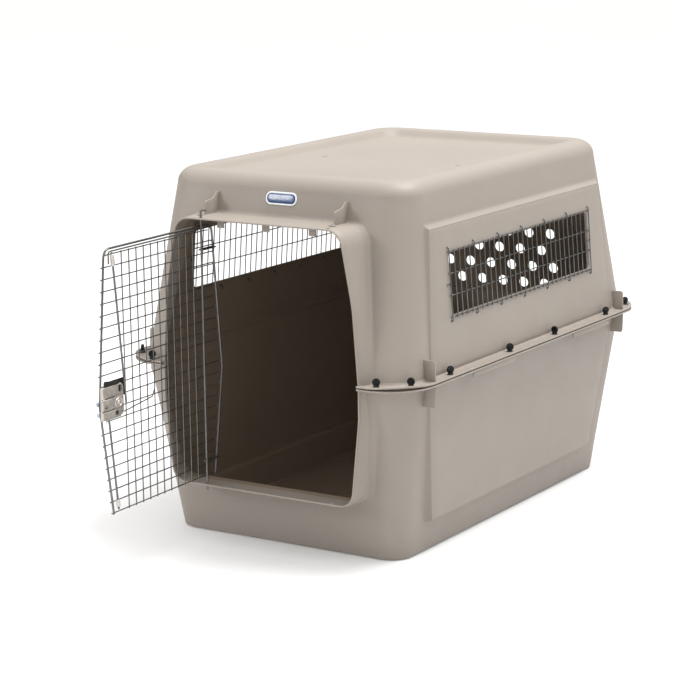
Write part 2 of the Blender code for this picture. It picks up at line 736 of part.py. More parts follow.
# ---------------------------------------------------------------- fasteners
def build_fastener(label, x, y, turn):
    """Round-headed bolt from below and a paddle nut above, both upright."""
    under = SEAM_Z - SEAM_GAP / 2 - WALL - 0.0003
    over = SEAM_Z + SEAM_GAP / 2 + WALL + 0.0003
    bm = bmesh.new()
    add_cylinder(bm, (0, 0, under - 0.0035), (0, 0, under), 0.0055, 10, 0.0065)
    bolt = mesh_object("flange_bolt_" + label, bm, STAMPED_STEEL)
    shank = bmesh.new()
    add_cylinder(shank, (0, 0, under - 0.001), (0, 0, over + 0.0105), BOLT_RADIUS, 6)
    tool = mesh_object("flange_bolt_shank_" + label, shank, helper=True)
    boolean(bolt, tool, "UNION")
    bm = bmesh.new()
    add_cylinder(bm, (0, 0, over), (0, 0, over + 0.008), 0.0068, 10, 0.0060)
    nut = mesh_object("wing_nut_" + label, bm, BLACK_PLASTIC)
    wing = bmesh.new()
    profile = fillet(
        ((-0.0055, over + 0.003), (0.0055, over + 0.003), (0.0105, over + 0.020), (-0.0105, over + 0.020)),
        (0.0, 0.0, 0.005, 0.005), 2)
    plate_across_y(wing, 0.0, 0.0052, profile)
    tool_wing = mesh_object("wing_nut_paddle_" + label, wing, helper=True)
    boolean(nut, tool_wing, "UNION")
    bore = bmesh.new()
    add_cylinder(bore, (0, 0, over - 0.005), (0, 0, over + 0.0115), BOLT_RADIUS + 0.0004, 6)
    tool_bore = mesh_object("wing_nut_bore_" + label, bore, helper=True)
    boolean(nut, tool_bore, "DIFFERENCE")
    for obj in (bolt, tool, nut, tool_wing, tool_bore):
        obj.location = (x, y, 0.0)
        obj.rotation_euler = (0.0, 0.0, radians(turn))


def build_fasteners():
    for index, (x, y, turn) in enumerate(BOLT_POINTS):
        for side_name, sx in (("right", 1), ("left", -1)):
            for end_name, sy in (("rear", 1), ("front", -1)):
                label = "_".join((side_name, end_name, str(index + 1)))
                angle = turn * sx + 30 * sy * (index - 1)
                build_fastener(label, sx * x, sy * y, angle)


# ---------------------------------------------------------------- badge
def build_badge():
    """Blank oblong badge lying on the sloping front wall above the doorway."""
    for name, half, radius, low, high, mat in (
            ("badge_rim", (0.042, 0.0150), 0.0135, 0.0004, 0.0016, BADGE_PALE),
            ("badge_face", (0.0385, 0.0115), 0.0100, 0.0019, 0.0029, BADGE_BLUE)):
        bm = bmesh.new()
        rings = [rounded_rectangle(*half, radius, level, 4) for level in (low, high)]
        add_loft(bm, rings)
        bm.transform(Matrix.Rotation(pi / 2 - BADGE_TILT, 4, "X"))
        plate = mesh_object(name, bm, mat)
        plate.location = (0.0, -upper_half(BADGE_Z)[1], BADGE_Z)


# ---------------------------------------------------------------- door
def door_local(x, z, y=0.0):
    """Door drawing coordinates (centred, closed) to hinge-axis coordinates."""
    return Vector((x - HINGE_X, y, z))


def hang(obj, offset=(0.0, 0.0, 0.0)):
    """Put an object drawn about the hinge axis into the opened rest pose."""
    turn = Matrix.Rotation(radians(DOOR_REST), 3, "Z")
    shift = Vector(offset)
    obj.location = Vector((HINGE_X, DOOR_Y, 0.0)) + turn @ shift
    obj.rotation_euler = (0.0, 0.0, radians(DOOR_REST))


def frame_half(z):
    if z > FRAME_MID[1]:
        share = (z - FRAME_MID[1]) / (FRAME_TOP[1] - FRAME_MID[1])
        return FRAME_MID[0] + (FRAME_TOP[0] - FRAME_MID[0]) * share
    share = (FRAME_MID[1] - z) / (FRAME_MID[1] - FRAME_LOW[1])
    return FRAME_MID[0] + (FRAME_LOW[0] - FRAME_MID[0]) * share


def build_door_frame():
    corners = [(-FRAME_LOW[0], FRAME_LOW[1]), (-FRAME_MID[0], FRAME_MID[1]),
               (-FRAME_TOP[0], FRAME_TOP[1]), FRAME_TOP, FRAME_MID, FRAME_LOW]
    path = rounded_path([door_local(x, z, FRAME_Y) for x, z in corners], 0.020, 5)
    bm = bmesh.new()
    add_wire(bm, path, FRAME_WIRE, 2)
    hang(mesh_object("door_frame_wire", bm, ZINC_WIRE))


def build_door_mesh():
    rows = bmesh.new()
    for index in range(ROWS):
        z = ROW_LOW_Z + index * ROW_PITCH
        half = frame_half(z)
        if index == ROWS - 1:
            half -= TOP_ROW_SHORT
        free = ROW_ENDS.get(index, half)
        add_cylinder(rows, door_local(-half, z, ROW_Y), door_local(free, z, ROW_Y), MESH_WIRE, 4)
    grid = mesh_object("door_mesh_panel", rows, ZINC_WIRE)
    columns = bmesh.new()
    top = ROW_LOW_Z + (ROWS - 1) * ROW_PITCH
    for index in range(COLUMNS):
        x = (index - (COLUMNS - 1) / 2) * COLUMN_PITCH
        add_cylinder(columns, door_local(x, ROW_LOW_Z - 0.003, COLUMN_Y),
                     door_local(x, top + 0.003, COLUMN_Y), MESH_WIRE, 4)
    tool = mesh_object("door_mesh_columns", columns, helper=True)
    boolean(grid, tool, "UNION")
    hang(grid)
    hang(tool)


def build_hinge():
    """Fixed rod through the tunnel roof and floor, and the door's two wire loops."""
    bm = bmesh.new()
    path = rounded_path(((0, 0, 0.130), (0, 0, 0.789), (0.013, 0.004, 0.789)), 0.005, 4)
    add_wire(bm, path, FRAME_WIRE, 2)
    rod = mesh_object("hinge_rod", bm, ZINC_WIRE)
    rod.location = (HINGE_X, DOOR_Y, 0.0)
    for name, z in (("hinge_loop_upper", ROW_LOW_Z + 20.5 * ROW_PITCH),
                    ("hinge_loop_lower", ROW_LOW_Z + 1.5 * ROW_PITCH)):
        reach = -frame_half(z) - HINGE_X + 0.0032
        bend = FRAME_WIRE + 0.0005 + 0.0018
        path = [Vector((reach, -bend, z))]
        for step in range(9):
            angle = -pi / 2 + pi * step / 8
            path.append(Vector((bend * cos(angle), bend * sin(angle), z)))
        path.append(Vector((reach, bend, z)))
        bm = bmesh.new()
        add_wire(bm, path, 0.0018, 2)
        hang(mesh_object(name, bm, ZINC_WIRE))


# ---------------------------------------------------------------- latch
def latch_outline(x_from, x_to, z_from, z_to, radius):
    return fillet(((x_from, z_from), (x_to, z_from), (x_to, z_to), (x_from, z_to)),
                  (radius[0], radius[1], radius[2], radius[3]), 4)


def latch_plate(bm, outline, y_from, y_to):
    rings = [[door_local(x, z, y) for x, z in outline] for y in (y_from, y_to)]
    add_loft(bm, rings)


def build_latch_housing():
    """Stamped plate on the cabin side with three raised bands and a curled tab."""
    bm = bmesh.new()
    latch_plate(bm, latch_outline(0.1620, 0.2450, 0.3800, 0.4550, (0.016, 0.002, 0.002, 0.016)),
                0.0018, 0.0032)
    housing = mesh_object("latch_housing", bm, STAMPED_STEEL)
    bands = bmesh.new()
    for z_from, z_to in ((0.3820, 0.3980), (0.4005, 0.4258), (0.4283, 0.4530)):
        latch_plate(bands, latch_outline(
            0.1660, 0.2430, z_from, z_to, (0.006, 0.002, 0.002, 0.006)), 0.0025, 0.0053)
    tab = fillet(((0.1760, 0.4530), (0.2325, 0.4530), (0.2325, 0.4665), (0.1800, 0.4560)),
                 [0.0005, 0.0005, 0.0030, 0.0005], 3)
    latch_plate(bands, tab, 0.0020, 0.0036)
    add_cylinder(bands, door_local(0.181, 0.4562, 0.0044), door_local(0.231, 0.4650, 0.0044),
                 0.0026, 8)
    tool = mesh_object("latch_housing_bands", bands, helper=True)
    joined = boolean(housing, tool, "UNION")
    joined.use_self = True
    slots = bmesh.new()
    for x, z, half_x, half_z in (
            (0.1777, 0.4425, 0.0050, 0.0080), (0.1895, 0.3900, 0.0048, 0.0058),
            (0.228, 0.4085, 0.0045, 0.0014), (0.228, 0.4115, 0.0014, 0.0040)):
        outline = fillet(((x - half_x, z - half_z), (x + half_x, z - half_z),
                          (x + half_x, z + half_z), (x - half_x, z + half_z)),
                         [min(half_x, half_z) * 0.95] * 4, 3)
        latch_plate(slots, outline, -0.004, 0.012)
    tool_slots = mesh_object("latch_housing_slots", slots, helper=True)
    cut = boolean(housing, tool_slots, "DIFFERENCE")
    cut.use_self = True
    bore = bmesh.new()
    add_cylinder(bore, door_local(*RIVET_SPOT, -0.004), door_local(*RIVET_SPOT, 0.012), RIVET_HOLE, 10)
    tool_bore = mesh_object("latch_housing_rivet_hole", bore, helper=True)
    boolean(housing, tool_bore, "DIFFERENCE")
    for obj in (housing, tool, tool_slots, tool_bore):
        hang(obj)


def build_latch_cover():
    """Outer plate with two open-ended slots that guide the finger grips."""
    bm = bmesh.new()
    latch_plate(bm, latch_outline(0.1600, 0.2305, 0.3800, 0.4550, (0.012, 0.004, 0.004, 0.012)),
                COVER_OUT, COVER_IN)
    cover = mesh_object("latch_cover_plate", bm, STAMPED_STEEL)
    slots = bmesh.new()
    for grip, travel in ((UPPER_GRIP, UPPER_TRAVEL), (LOWER_GRIP, LOWER_TRAVEL)):
        end = (grip[0] + travel[0] * LATCH_TRAVEL, grip[1] + travel[1] * LATCH_TRAVEL)
        low_z = min(grip[1], end[1]) - 0.0045
        high_z = max(grip[1], end[1]) + 0.0045
        mid_x = (grip[0] + end[0]) / 2
        half = 0.0034 + abs(grip[0] - end[0]) / 2
        latch_plate(slots, fillet(
            ((mid_x - half, low_z), (mid_x + half, low_z), (mid_x + half, high_z), (mid_x - half, high_z)),
            [0.003] * 4, 3), COVER_OUT - 0.004, COVER_IN + 0.004)
    add_cylinder(slots, door_local(*RIVET_SPOT, COVER_OUT - 0.004), door_local(*RIVET_SPOT, COVER_IN + 0.004),
                 RIVET_HOLE, 10)
    tool = mesh_object("latch_cover_slots", slots, helper=True)
    boolean(cover, tool, "DIFFERENCE")
    for obj in (cover, tool):
        hang(obj)


def build_latch_rivet():
    """Domed rivet clamping the two latch plates."""
    profile = (
        (0.0030, 0.0076), (0.0052, 0.0058), (0.0052, 0.0056), (0.0030, 0.0056),
        (0.0030, COVER_OUT - 0.0003), (0.0052, COVER_OUT - 0.0003), (0.0052, COVER_OUT - 0.0005),
        (0.0034, COVER_OUT - 0.0024))
    bm = bmesh.new()
    rings = []
    for radius, y in profile:
        ring = []
        for step in range(12):
            angle = 2 * pi * step / 12
            x = RIVET_SPOT[0] + radius * cos(angle)
            ring.append(door_local(x, RIVET_SPOT[1] + radius * sin(angle), y))
        rings.append(ring)
    add_loft(bm, rings)
    hang(mesh_object("latch_rivet", bm, STAMPED_STEEL))


def unit(start, end):
    span = Vector(end) - Vector(start)
    return span.normalized()


UPPER_TRAVEL = unit(UPPER_ROD[0], UPPER_ROD[1])
LOWER_TRAVEL = unit(LOWER_ROD[0], LOWER_ROD[1])
UPPER_GRIP = (0.2190, 0.4105)
LOWER_GRIP = (0.2150, 0.3845)


# slider plates: the upper one reaches down past the rivet to its grip
UPPER_SLIDER = ((0.1537, 0.4235), (0.2110, 0.4235), (0.2110, 0.4055), (0.2270, 0.4055), (0.2270, 0.4632),
                (0.1578, 0.4632))
LOWER_SLIDER = ((0.1700, 0.3780), (0.2270, 0.3780), (0.2270, 0.4010), (0.1700, 0.4010))


def build_slide(name, rod, grip, corners):
    """Slider plate, its finger grip and its rod, all drawn about the rod's inner end."""
    base = door_local(rod[0][0], rod[0][1], ROD_Y)

    def local(x, z, y):
        return door_local(x, z, y) - base

    bm = bmesh.new()
    outline = fillet(corners, [0.0015] * len(corners), 2)
    rings = [[local(x, z, y) for x, z in outline] for y in (-0.0008, 0.0008)]
    add_loft(bm, rings)
    slider = mesh_object("latch_slider_" + name, bm, STAMPED_STEEL)
    holes = bmesh.new()
    add_cylinder(holes, local(*grip, -0.006), local(*grip, 0.006), 0.0024, 8)
    tool = mesh_object("latch_slider_hole_" + name, holes, helper=True)
    boolean(slider, tool, "DIFFERENCE")

    bm = bmesh.new()
    add_cylinder(bm, local(*grip, 0.0006), local(*grip, -0.0290), 0.0020, 10)
    finger = mesh_object("latch_grip_" + name, bm, STAMPED_STEEL)
    pad = bmesh.new()
    add_cylinder(pad, local(*grip, -0.0220), local(*grip, -0.0300), 0.0052, 14, 0.0044)
    tool_pad = mesh_object("latch_grip_pad_" + name, pad, helper=True)
    boolean(finger, tool_pad, "UNION")

    bm = bmesh.new()
    start = Vector((rod[0][0], rod[0][1]))
    tip = Vector(rod[1])
    path = [local(start.x, start.y, ROD_Y), local(tip.x, tip.y, ROD_Y)]
    add_wire(bm, path, ROD_RADIUS, 2)
    bar = mesh_object("latch_rod_" + name, bm, ZINC_WIRE)
    for obj in (slider, tool, finger, tool_pad, bar):
        hang(obj, base)


def build_guide(name, rod, share_from, share_to):
    """Short sleeve fixed to the door around a latch rod."""
    start = Vector(rod[0])
    span = Vector(rod[1]) - start
    first = start + span * share_from
    last = start + span * share_to
    bm = bmesh.new()
    add_cylinder(bm, door_local(first.x, first.y, ROD_Y), door_local(last.x, last.y, ROD_Y), 0.0046, 12)
    sleeve = mesh_object("rod_guide_" + name, bm, STAMPED_STEEL)
    bore = bmesh.new()
    before = first - span.normalized() * 0.010
    after = last + span.normalized() * 0.010
    add_cylinder(bore, door_local(before.x, before.y, ROD_Y), door_local(after.x, after.y, ROD_Y),
                 ROD_RADIUS + 0.0005, 12)
    tool = mesh_object("rod_guide_bore_" + name, bore, helper=True)
    boolean(sleeve, tool, "DIFFERENCE")
    for obj in (sleeve, tool):
        hang(obj)


def build_stay_wire():
    """Bent retaining wire hooked from the latch housing to the wire grid."""
    y = -0.0060
    path = rounded_path((
        door_local(0.1580, 0.3870, y), door_local(0.1480, 0.3835, y), door_local(0.0420, 0.3950, y),
        door_local(0.0310, 0.4150, y)), 0.004, 3)
    bm = bmesh.new()
    add_wire(bm, path, 0.0014, 1)
    hang(mesh_object("latch_stay_wire", bm, ZINC_WIRE))


# ---------------------------------------------------------------- assembly
CAVITIES = {part: build_cavity(part) for part in ("upper", "lower")}


def build_shells():
    for part, skin, additions, holes in (
            ("upper", build_upper_skin, upper_additions, upper_holes),
            ("lower", build_lower_skin, lower_additions, lower_holes)):
        shell = skin()
        boolean(shell, build_tunnel(part), "UNION")
        boolean(shell, build_doorway_cutter(part), "DIFFERENCE")
        boolean(shell, additions(), "UNION")
        boolean(shell, holes(), "DIFFERENCE")


build_shells()
build_grille("window_grille_right", 1)
build_grille("window_grille_left", -1)
build_fasteners()
build_badge()
build_door_frame()
build_door_mesh()
build_hinge()
build_latch_housing()
build_latch_cover()
build_latch_rivet()
build_slide("upper", UPPER_ROD, UPPER_GRIP, UPPER_SLIDER)
build_slide("lower", LOWER_ROD, LOWER_GRIP, LOWER_SLIDER)
build_guide("upper", UPPER_ROD, 0.910, 0.988)
build_guide("lower", LOWER_ROD, 0.888, 0.963)
build_stay_wire()
shade_parts()
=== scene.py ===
import json
from math import cos, pi, radians, sin, tan

import bmesh
import bpy
import numpy as np
from mathutils import Matrix, Vector


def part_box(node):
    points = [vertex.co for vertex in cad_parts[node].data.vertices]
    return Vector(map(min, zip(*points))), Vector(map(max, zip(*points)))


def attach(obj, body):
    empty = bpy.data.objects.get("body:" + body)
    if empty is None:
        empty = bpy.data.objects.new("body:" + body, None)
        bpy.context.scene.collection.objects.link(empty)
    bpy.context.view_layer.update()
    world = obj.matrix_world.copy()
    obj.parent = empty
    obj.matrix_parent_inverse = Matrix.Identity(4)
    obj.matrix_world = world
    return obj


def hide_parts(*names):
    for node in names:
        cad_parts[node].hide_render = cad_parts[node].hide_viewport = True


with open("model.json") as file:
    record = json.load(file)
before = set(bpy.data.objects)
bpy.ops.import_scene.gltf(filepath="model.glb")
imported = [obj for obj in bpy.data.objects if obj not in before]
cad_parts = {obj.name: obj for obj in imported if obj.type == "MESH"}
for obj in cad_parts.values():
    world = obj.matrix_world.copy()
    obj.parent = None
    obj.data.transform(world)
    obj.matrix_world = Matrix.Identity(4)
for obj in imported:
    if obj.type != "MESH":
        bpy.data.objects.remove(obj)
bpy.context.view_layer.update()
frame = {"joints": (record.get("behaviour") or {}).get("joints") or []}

# ---------------------------------------------------------------- sizes read from the frame
JOINTS = {joint["name"]: joint for joint in frame["joints"]}
UPPER_LOW, UPPER_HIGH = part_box("upper_shell")
_, LOWER_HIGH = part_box("lower_shell")
REACH_X = UPPER_HIGH.x
REACH_Y = UPPER_HIGH.y
HEIGHT = UPPER_HIGH.z
SEAM_GAP = UPPER_LOW.z - LOWER_HIGH.z
SEAM_Z = (UPPER_LOW.z + LOWER_HIGH.z) / 2
HINGE_X, DOOR_Y, _ = JOINTS["door_swing"]["pos_m"]
DOOR_REST = -JOINTS["door_swing"]["range_deg"][1]

# ---------------------------------------------------------------- shell dimensions, in metres
WALL = 0.004
FLANGE = 0.0326
CORNER = 0.085
SEAM_HALF = (REACH_X - FLANGE, REACH_Y - FLANGE)
BASE_HALF = (0.3146, 0.5052)
TOP_HALF = (0.3281, 0.4809)
TOP_ROUND = 0.038
RIM_WIDTH = 0.012
RECESS_RUN = 0.030
RECESS_DEPTH = 0.021
BASE_ROUND = 0.006
LIP_Y = -0.600
TUNNEL_FLARE = 0.13
TUNNEL_SPLAY = 0.93
RIM_DEPTH = 0.009
RIM_STEP = 0.0022
DOORWAY_TOP = 0.772
DOORWAY_SILL = 0.142
DOORWAY_SEAM = 0.269
ROOT_FILLET = 0.0065
TOP_TIGHTER = 0.010              # the wall's corner radius shrinks by this towards the roof
BASE_TIGHTER = 0.028             # and by this towards the base
SPLAY_ABOVE = 0.20               # heights over which the tunnel's splay fades from the seam
SPLAY_BELOW = 0.36
FULL_GROWTH_X = 0.15             # beyond this x the tunnel grows sideways by its full amount
RIM_DROP = 0.0006                # the stacking rim's crest falls by this towards the recess
RIB_HEIGHT = 0.0016              # upright rib in the lower tunnel's sides
RIB_SHARES = (0.65, 0.68)
FIN = 0.0036
SIDE_FIN_Y = 0.480
FRONT_FIN_X = 0.176
LIP_X = 0.3955                   # finger lips hanging from the lower flange
SOCKET_X, SOCKET_Y = 0.179, -0.560
LEDGE_ROD_X = 0.1872             # holes that the latch rods enter
SILL_ROD_X = 0.1857
VENT_PITCH = 0.0625
VENT_LOW_Z = 0.457
VENT_RISE = 0.0468
JAMB_Y = -0.556                  # the tunnel in front of this keeps the outside's colour inside too; behind it the inner skin takes the darker copy of the plastic, which is painted shade
GROOVE_AT = 0.0018               # fine groove just inside the raised panels' borders
GROOVE_DEPTH = 0.0007
BORDER_SOFTNESS = 0.45           # 0 is a straight ramp, 1 a fully smoothed one
PATCH_TURN = 0.5                 # how far the front patch runs into the wall corner, radians

UPPER_PANEL = {"near": 0.4620, "far": 0.4340, "near_z": 0.433, "far_z": 0.771,
               "near_raise": 0.0030, "far_raise": 0.0108, "near_ramp": 0.0050, "side_ramp": 0.0095,
               "end_ramp": 0.0130}
LOWER_PANEL = {"near": 0.4700, "far": 0.4120, "near_z": 0.413, "far_z": 0.076,
               "near_raise": 0.0035, "far_raise": 0.0145, "near_ramp": 0.0035, "side_ramp": 0.0095,
               "end_ramp": 0.0036}

WINDOW_Z = (0.5485, 0.698)
WINDOW_HALF_Y = 0.352
WINDOW_BARS = 31
HOOK_EVERY = 5
HOOK_UP = 0.009                  # how far the hooks' holes lie outside the window, up and along
HOOK_ALONG = 0.010
WINDOW_PITCH = 2 * WINDOW_HALF_Y / (WINDOW_BARS - 1)
GRILLE_WIRE = 0.0014
MERGE = 0.000002
END_SHARE = 0.55                 # a wire's cut ends: radius share and length of the dome
END_RUN = 0.35


# ---------------------------------------------------------------- mesh helpers
def ramp(value):
    return max(0.0, min(1.0, value))


def mix(a, b, share):
    return a + (b - a) * share


def add_rows(bm, rows, closed=True, cap_start=False, cap_end=False):
    """Quads between matching rows of points."""
    made = [[bm.verts.new(point) for point in row] for row in rows]
    for first, second in zip(made, made[1:]):
        count = len(first)
        for index in range(count if closed else count - 1):
            after = (index + 1) % count
            bm.faces.new((first[index], first[after], second[after], second[index]))
    if cap_start:
        bm.faces.new(list(reversed(made[0])))
    if cap_end:
        bm.faces.new(made[-1])


def add_solid(bm, rows):
    """Closed rows of points joined and capped at both ends."""
    add_rows(bm, rows, True, True, True)


def finish_mesh(name, bm):
    bmesh.ops.remove_doubles(bm, verts=bm.verts, dist=MERGE)
    mesh = bpy.data.meshes.new(name)
    bm.to_mesh(mesh)
    bm.free()
    obj = bpy.data.objects.new(name, mesh)
    bpy.context.scene.collection.objects.link(obj)
    return obj


def closed_object(name, bm):
    bmesh.ops.remove_doubles(bm, verts=bm.verts, dist=MERGE)
    bmesh.ops.recalc_face_normals(bm, faces=bm.faces)
    return finish_mesh(name, bm)


def solid(name, rows, capped=True):
    """Closed object from closed rows of points, capped, or a ring whose last row meets its first."""
    bm = bmesh.new()
    add_rows(bm, rows, True, capped, capped)
    return closed_object(name, bm)


def angles(count):
    return [2 * pi * step / count for step in range(count)]


def circle(radius, height, segments, matrix, stretch=1.0):
    return [matrix @ Vector((radius * stretch * cos(angle), radius * sin(angle), height))
            for angle in angles(segments)]


def combine(obj, tool, operation, use_self=False):
    """Applies one exact Boolean and removes the tool."""
    mod = obj.modifiers.new("combine", "BOOLEAN")
    mod.operation = operation
    mod.solver = "EXACT"
    mod.use_self = use_self
    mod.object = tool
    graph = bpy.context.evaluated_depsgraph_get()
    mesh = bpy.data.meshes.new_from_object(obj.evaluated_get(graph))
    obj.modifiers.clear()
    obj.data = mesh
    bpy.data.objects.remove(tool, do_unlink=True)


def shade(obj, angle=35):
    obj.data.shade_smooth()
    obj.data.set_sharp_from_angle(angle=radians(angle))


def fillet(points, radii, steps):
    """Closed 2-D outline with each corner rounded to its own radius."""
    outline = []
    count = len(points)
    for index, radius in enumerate(radii):
        here = Vector(points[index])
        back = (Vector(points[index - 1]) - here).normalized()
        ahead = (Vector(points[(index + 1) % count]) - here).normalized()
        if radius <= 0:
            outline.append(here)
            continue
        half = back.angle(ahead) / 2
        centre = here + (back + ahead).normalized() * radius / sin(half)
        start = here + back * radius / tan(half) - centre
        end = here + ahead * radius / tan(half) - centre
        sweep = start.angle_signed(end)
        for step in range(steps + 1):
            turned = start.copy()
            turned.rotate(Matrix.Rotation(-sweep * step / steps, 2))
            outline.append(centre + turned)
    return outline


def add_cylinder(bm, start, end, radius, segments):
    start = Vector(start)
    span = Vector(end) - start
    turn = span.to_track_quat("Z", "Y").to_matrix().to_4x4()
    place = Matrix.Translation(start + span / 2) @ turn
    bmesh.ops.create_cone(bm, cap_ends=True, segments=segments, radius1=radius,
                          radius2=radius, depth=span.length, matrix=place)


def rounded_path(points, radius, steps=6):
    """Open 3-D polyline with its inner corners rounded."""
    path = [Vector(points[0])]
    for index in range(1, len(points) - 1):
        here = Vector(points[index])
        back = (Vector(points[index - 1]) - here).normalized()
        ahead = (Vector(points[index + 1]) - here).normalized()
        half = back.angle(ahead) / 2
        centre = here + (back + ahead).normalized() * radius / sin(half)
        start = here + back * radius / tan(half) - centre
        axis = back.cross(ahead).normalized()
        total = pi - 2 * half
        for step in range(steps + 1):
            path.append(centre + Matrix.Rotation(-total * step / steps, 3, axis) @ start)
    path.append(Vector(points[-1]))
    return path


def add_tube(bm, path, radius, sides=8):
    """Round wire along a path, with slightly domed cut ends."""
    path = [Vector(point) for point in path]
    rings = []
    across = None
    last = len(path) - 1
    for index, point in enumerate(path):
        ahead = (path[min(index + 1, last)] - path[max(index - 1, 0)]).normalized()
        if across is None:
            across = ahead.orthogonal().normalized()
        across = (across - ahead * across.dot(ahead)).normalized()
        other = ahead.cross(across)
        spots = [(point, radius)]
        if index == 0:
            spots = [(point, radius * END_SHARE), (point + ahead * radius * END_RUN, radius)]
        elif index == last:
            spots = [(point - ahead * radius * END_RUN, radius), (point, radius * END_SHARE)]
        for centre, size in spots:
            rings.append([centre + (across * cos(angle) + other * sin(angle)) * size
                          for angle in angles(sides)])
    add_solid(bm, rings)


def add_bead(bm, centre, radius, squash=(1.0, 1.0, 1.0)):
    place = Matrix.Translation(centre) @ Matrix.Diagonal((*squash, 1.0))
    bmesh.ops.create_uvsphere(bm, u_segments=8, v_segments=5, radius=radius, matrix=place)


# ---------------------------------------------------------------- the drafted walls
def upper_half(z):
    share = (z - SEAM_Z) / (HEIGHT - SEAM_Z)
    return [mix(a, b, share) for a, b in zip(SEAM_HALF, TOP_HALF)]


def lower_half(z):
    return [mix(a, b, z / SEAM_Z) for a, b in zip(BASE_HALF, SEAM_HALF)]


def upper_radius(z):
    return CORNER - TOP_TIGHTER * (z - SEAM_Z) / (HEIGHT - SEAM_Z)


def lower_radius(z):
    return CORNER - BASE_TIGHTER * (1 - z / SEAM_Z)


# what differs between the two shells
UP = {"upper": 1, "lower": -1}
HALF = {"upper": upper_half, "lower": lower_half}
RADIUS = {"upper": upper_radius, "lower": lower_radius}
PANEL = {"upper": UPPER_PANEL, "lower": LOWER_PANEL}


def wall_point(p, half_x, half_y, radius):
    """Point at a distance p along the perimeter from the front centre."""
    side = 1 if p >= 0 else -1
    p = abs(p)
    flat = half_x - radius
    arc = radius * pi / 2
    long = half_y - radius
    if p <= flat:
        spot = (p, -half_y)
    elif p <= flat + arc:
        turn = (p - flat) / radius
        spot = (flat + radius * sin(turn), -long - radius * cos(turn))
    elif p <= flat + arc + 2 * long:
        spot = (half_x, p - flat - arc - long)
    elif p <= flat + 2 * arc + 2 * long:
        turn = (p - flat - arc - 2 * long) / radius
        spot = (flat + radius * cos(turn), long + radius * sin(turn))
    else:
        spot = (2 * (flat + arc + long) - p, half_y)
    return Vector((side * spot[0], spot[1]))


def panel_mix(panel, near, far, z):
    """One of a panel's measures at a height, between its value near the seam and far from it."""
    return mix(panel[near], panel[far], ramp((z - panel["near_z"]) / (panel["far_z"] - panel["near_z"])))


def panel_raise(panel, y, z):
    """How far the raised side panel stands off the wall at a point, and its share of the full raise."""
    inward = panel_mix(panel, "near", "far", z) - abs(y)
    ends = abs(panel["far_z"] - z)
    if (z - panel["far_z"]) * (panel["near_z"] - panel["far_z"]) < 0:
        return 0.0, 0.0
    slope = panel_mix(panel, "near_ramp", "side_ramp", z)
    foot = abs(z - SEAM_Z) / abs(panel["near_z"] - SEAM_Z)
    share = ramp(min(inward / slope, ends / panel["end_ramp"], foot))
    share = mix(share, share * share * (3 - 2 * share), BORDER_SOFTNESS)
    past = min(inward - slope, ends - panel["end_ramp"])
    groove = GROOVE_DEPTH * max(0.0, 1 - abs(past - GROOVE_AT) / GROOVE_AT) if past > 0 else 0.0
    return share * panel_mix(panel, "near_raise", "far_raise", z) - groove, share


def patch_start(half_x, radius):
    return half_x - radius + radius * PATCH_TURN


def strip_params(half_x, half_y, radius, panel, z):
    """Perimeter distances of the samples from the front patch round to the rear centre."""
    flat = half_x - radius
    arc = radius * pi / 2
    long = half_y - radius
    middle = flat + arc + long
    edge = min(panel_mix(panel, "near", "far", z), long + 0.3 * radius)
    slope = panel_mix(panel, "near_ramp", "side_ramp", z)
    first, last = middle - edge, middle + edge
    turned = middle + long + arc
    border = [slope * share for share in (0.25, 0.5, 0.75, 1.0)] + [slope + GROOVE_AT, slope + 2 * GROOVE_AT]
    params = list(np.linspace(patch_start(half_x, radius), first, 16))
    params += [first + run for run in border]
    params += list(np.linspace(first + border[-1], last - border[-1], 26))[1:-1]
    params += [last - run for run in reversed(border)]
    params += list(np.linspace(last, turned, 17))
    return params + list(np.linspace(turned, 2 * middle, 9))[1:]


def strip_row(half, radius, z, panel):
    """Row of wall points from the right edge of the front patch round the rear to the left edge."""
    right = []
    for p in strip_params(*half, radius, panel, z):
        spot = wall_point(p, *half, radius)
        off, share = panel_raise(panel, spot.y, z)
        x = mix(spot.x, half[0] + off, share) if share > 0 else spot.x
        right.append(Vector((x, spot.y, z)))
    return right + [Vector((-point.x, point.y, z)) for point in reversed(right[:-1])]


FRONT_SAMPLES = 40
# rows of the front patch, from the tunnel's rim inwards, round its root and out over the wall
PATCH_ROWS = [("lip", 0.0), ("lip", 0.0030), ("lip", 0.0058), ("step", RIM_DEPTH)]
PATCH_ROWS += [("tunnel", share) for share in (0.12, 0.30, 0.5, 0.62, 0.65, 0.68, 0.71, 0.85, 0.97, 1.0)]
PATCH_ROWS += [("bend", share) for share in (0.25, 0.5, 0.75)]
PATCH_ROWS += [("wall", share) for share in (0.0, 0.03, 0.15, 0.35, 0.6, 0.8, 1.0)]


def front_row(half, radius, z):
    """Front wall points strictly between the two patch edges, left to right."""
    start = patch_start(half[0], radius)
    row = []
    for index in range(1, FRONT_SAMPLES):
        p = mix(-start, start, index / FRONT_SAMPLES)
        spot = wall_point(p, *half, radius)
        row.append(Vector((spot.x, spot.y, z)))
    return row


# ---------------------------------------------------------------- the doorway patch
def doorway_outline(part):
    """Outline of the tunnel's front edge, right foot first, over the top or sill, to the left foot."""
    if part == "upper":
        right = [(DOORWAY_SEAM, SEAM_Z + SEAM_GAP / 2), (0.2555, 0.600), (0.223, DOORWAY_TOP)]
        radii = [0.0, 0.30, 0.042]
    else:
        right = [(DOORWAY_SEAM, SEAM_Z - SEAM_GAP / 2), (0.269, 0.345), (0.247, DOORWAY_SILL)]
        radii = [0.0, 0.20, 0.036]
    left = [(-x, z) for x, z in reversed(right)]
    return fillet(right + left, radii + radii[::-1], 16)


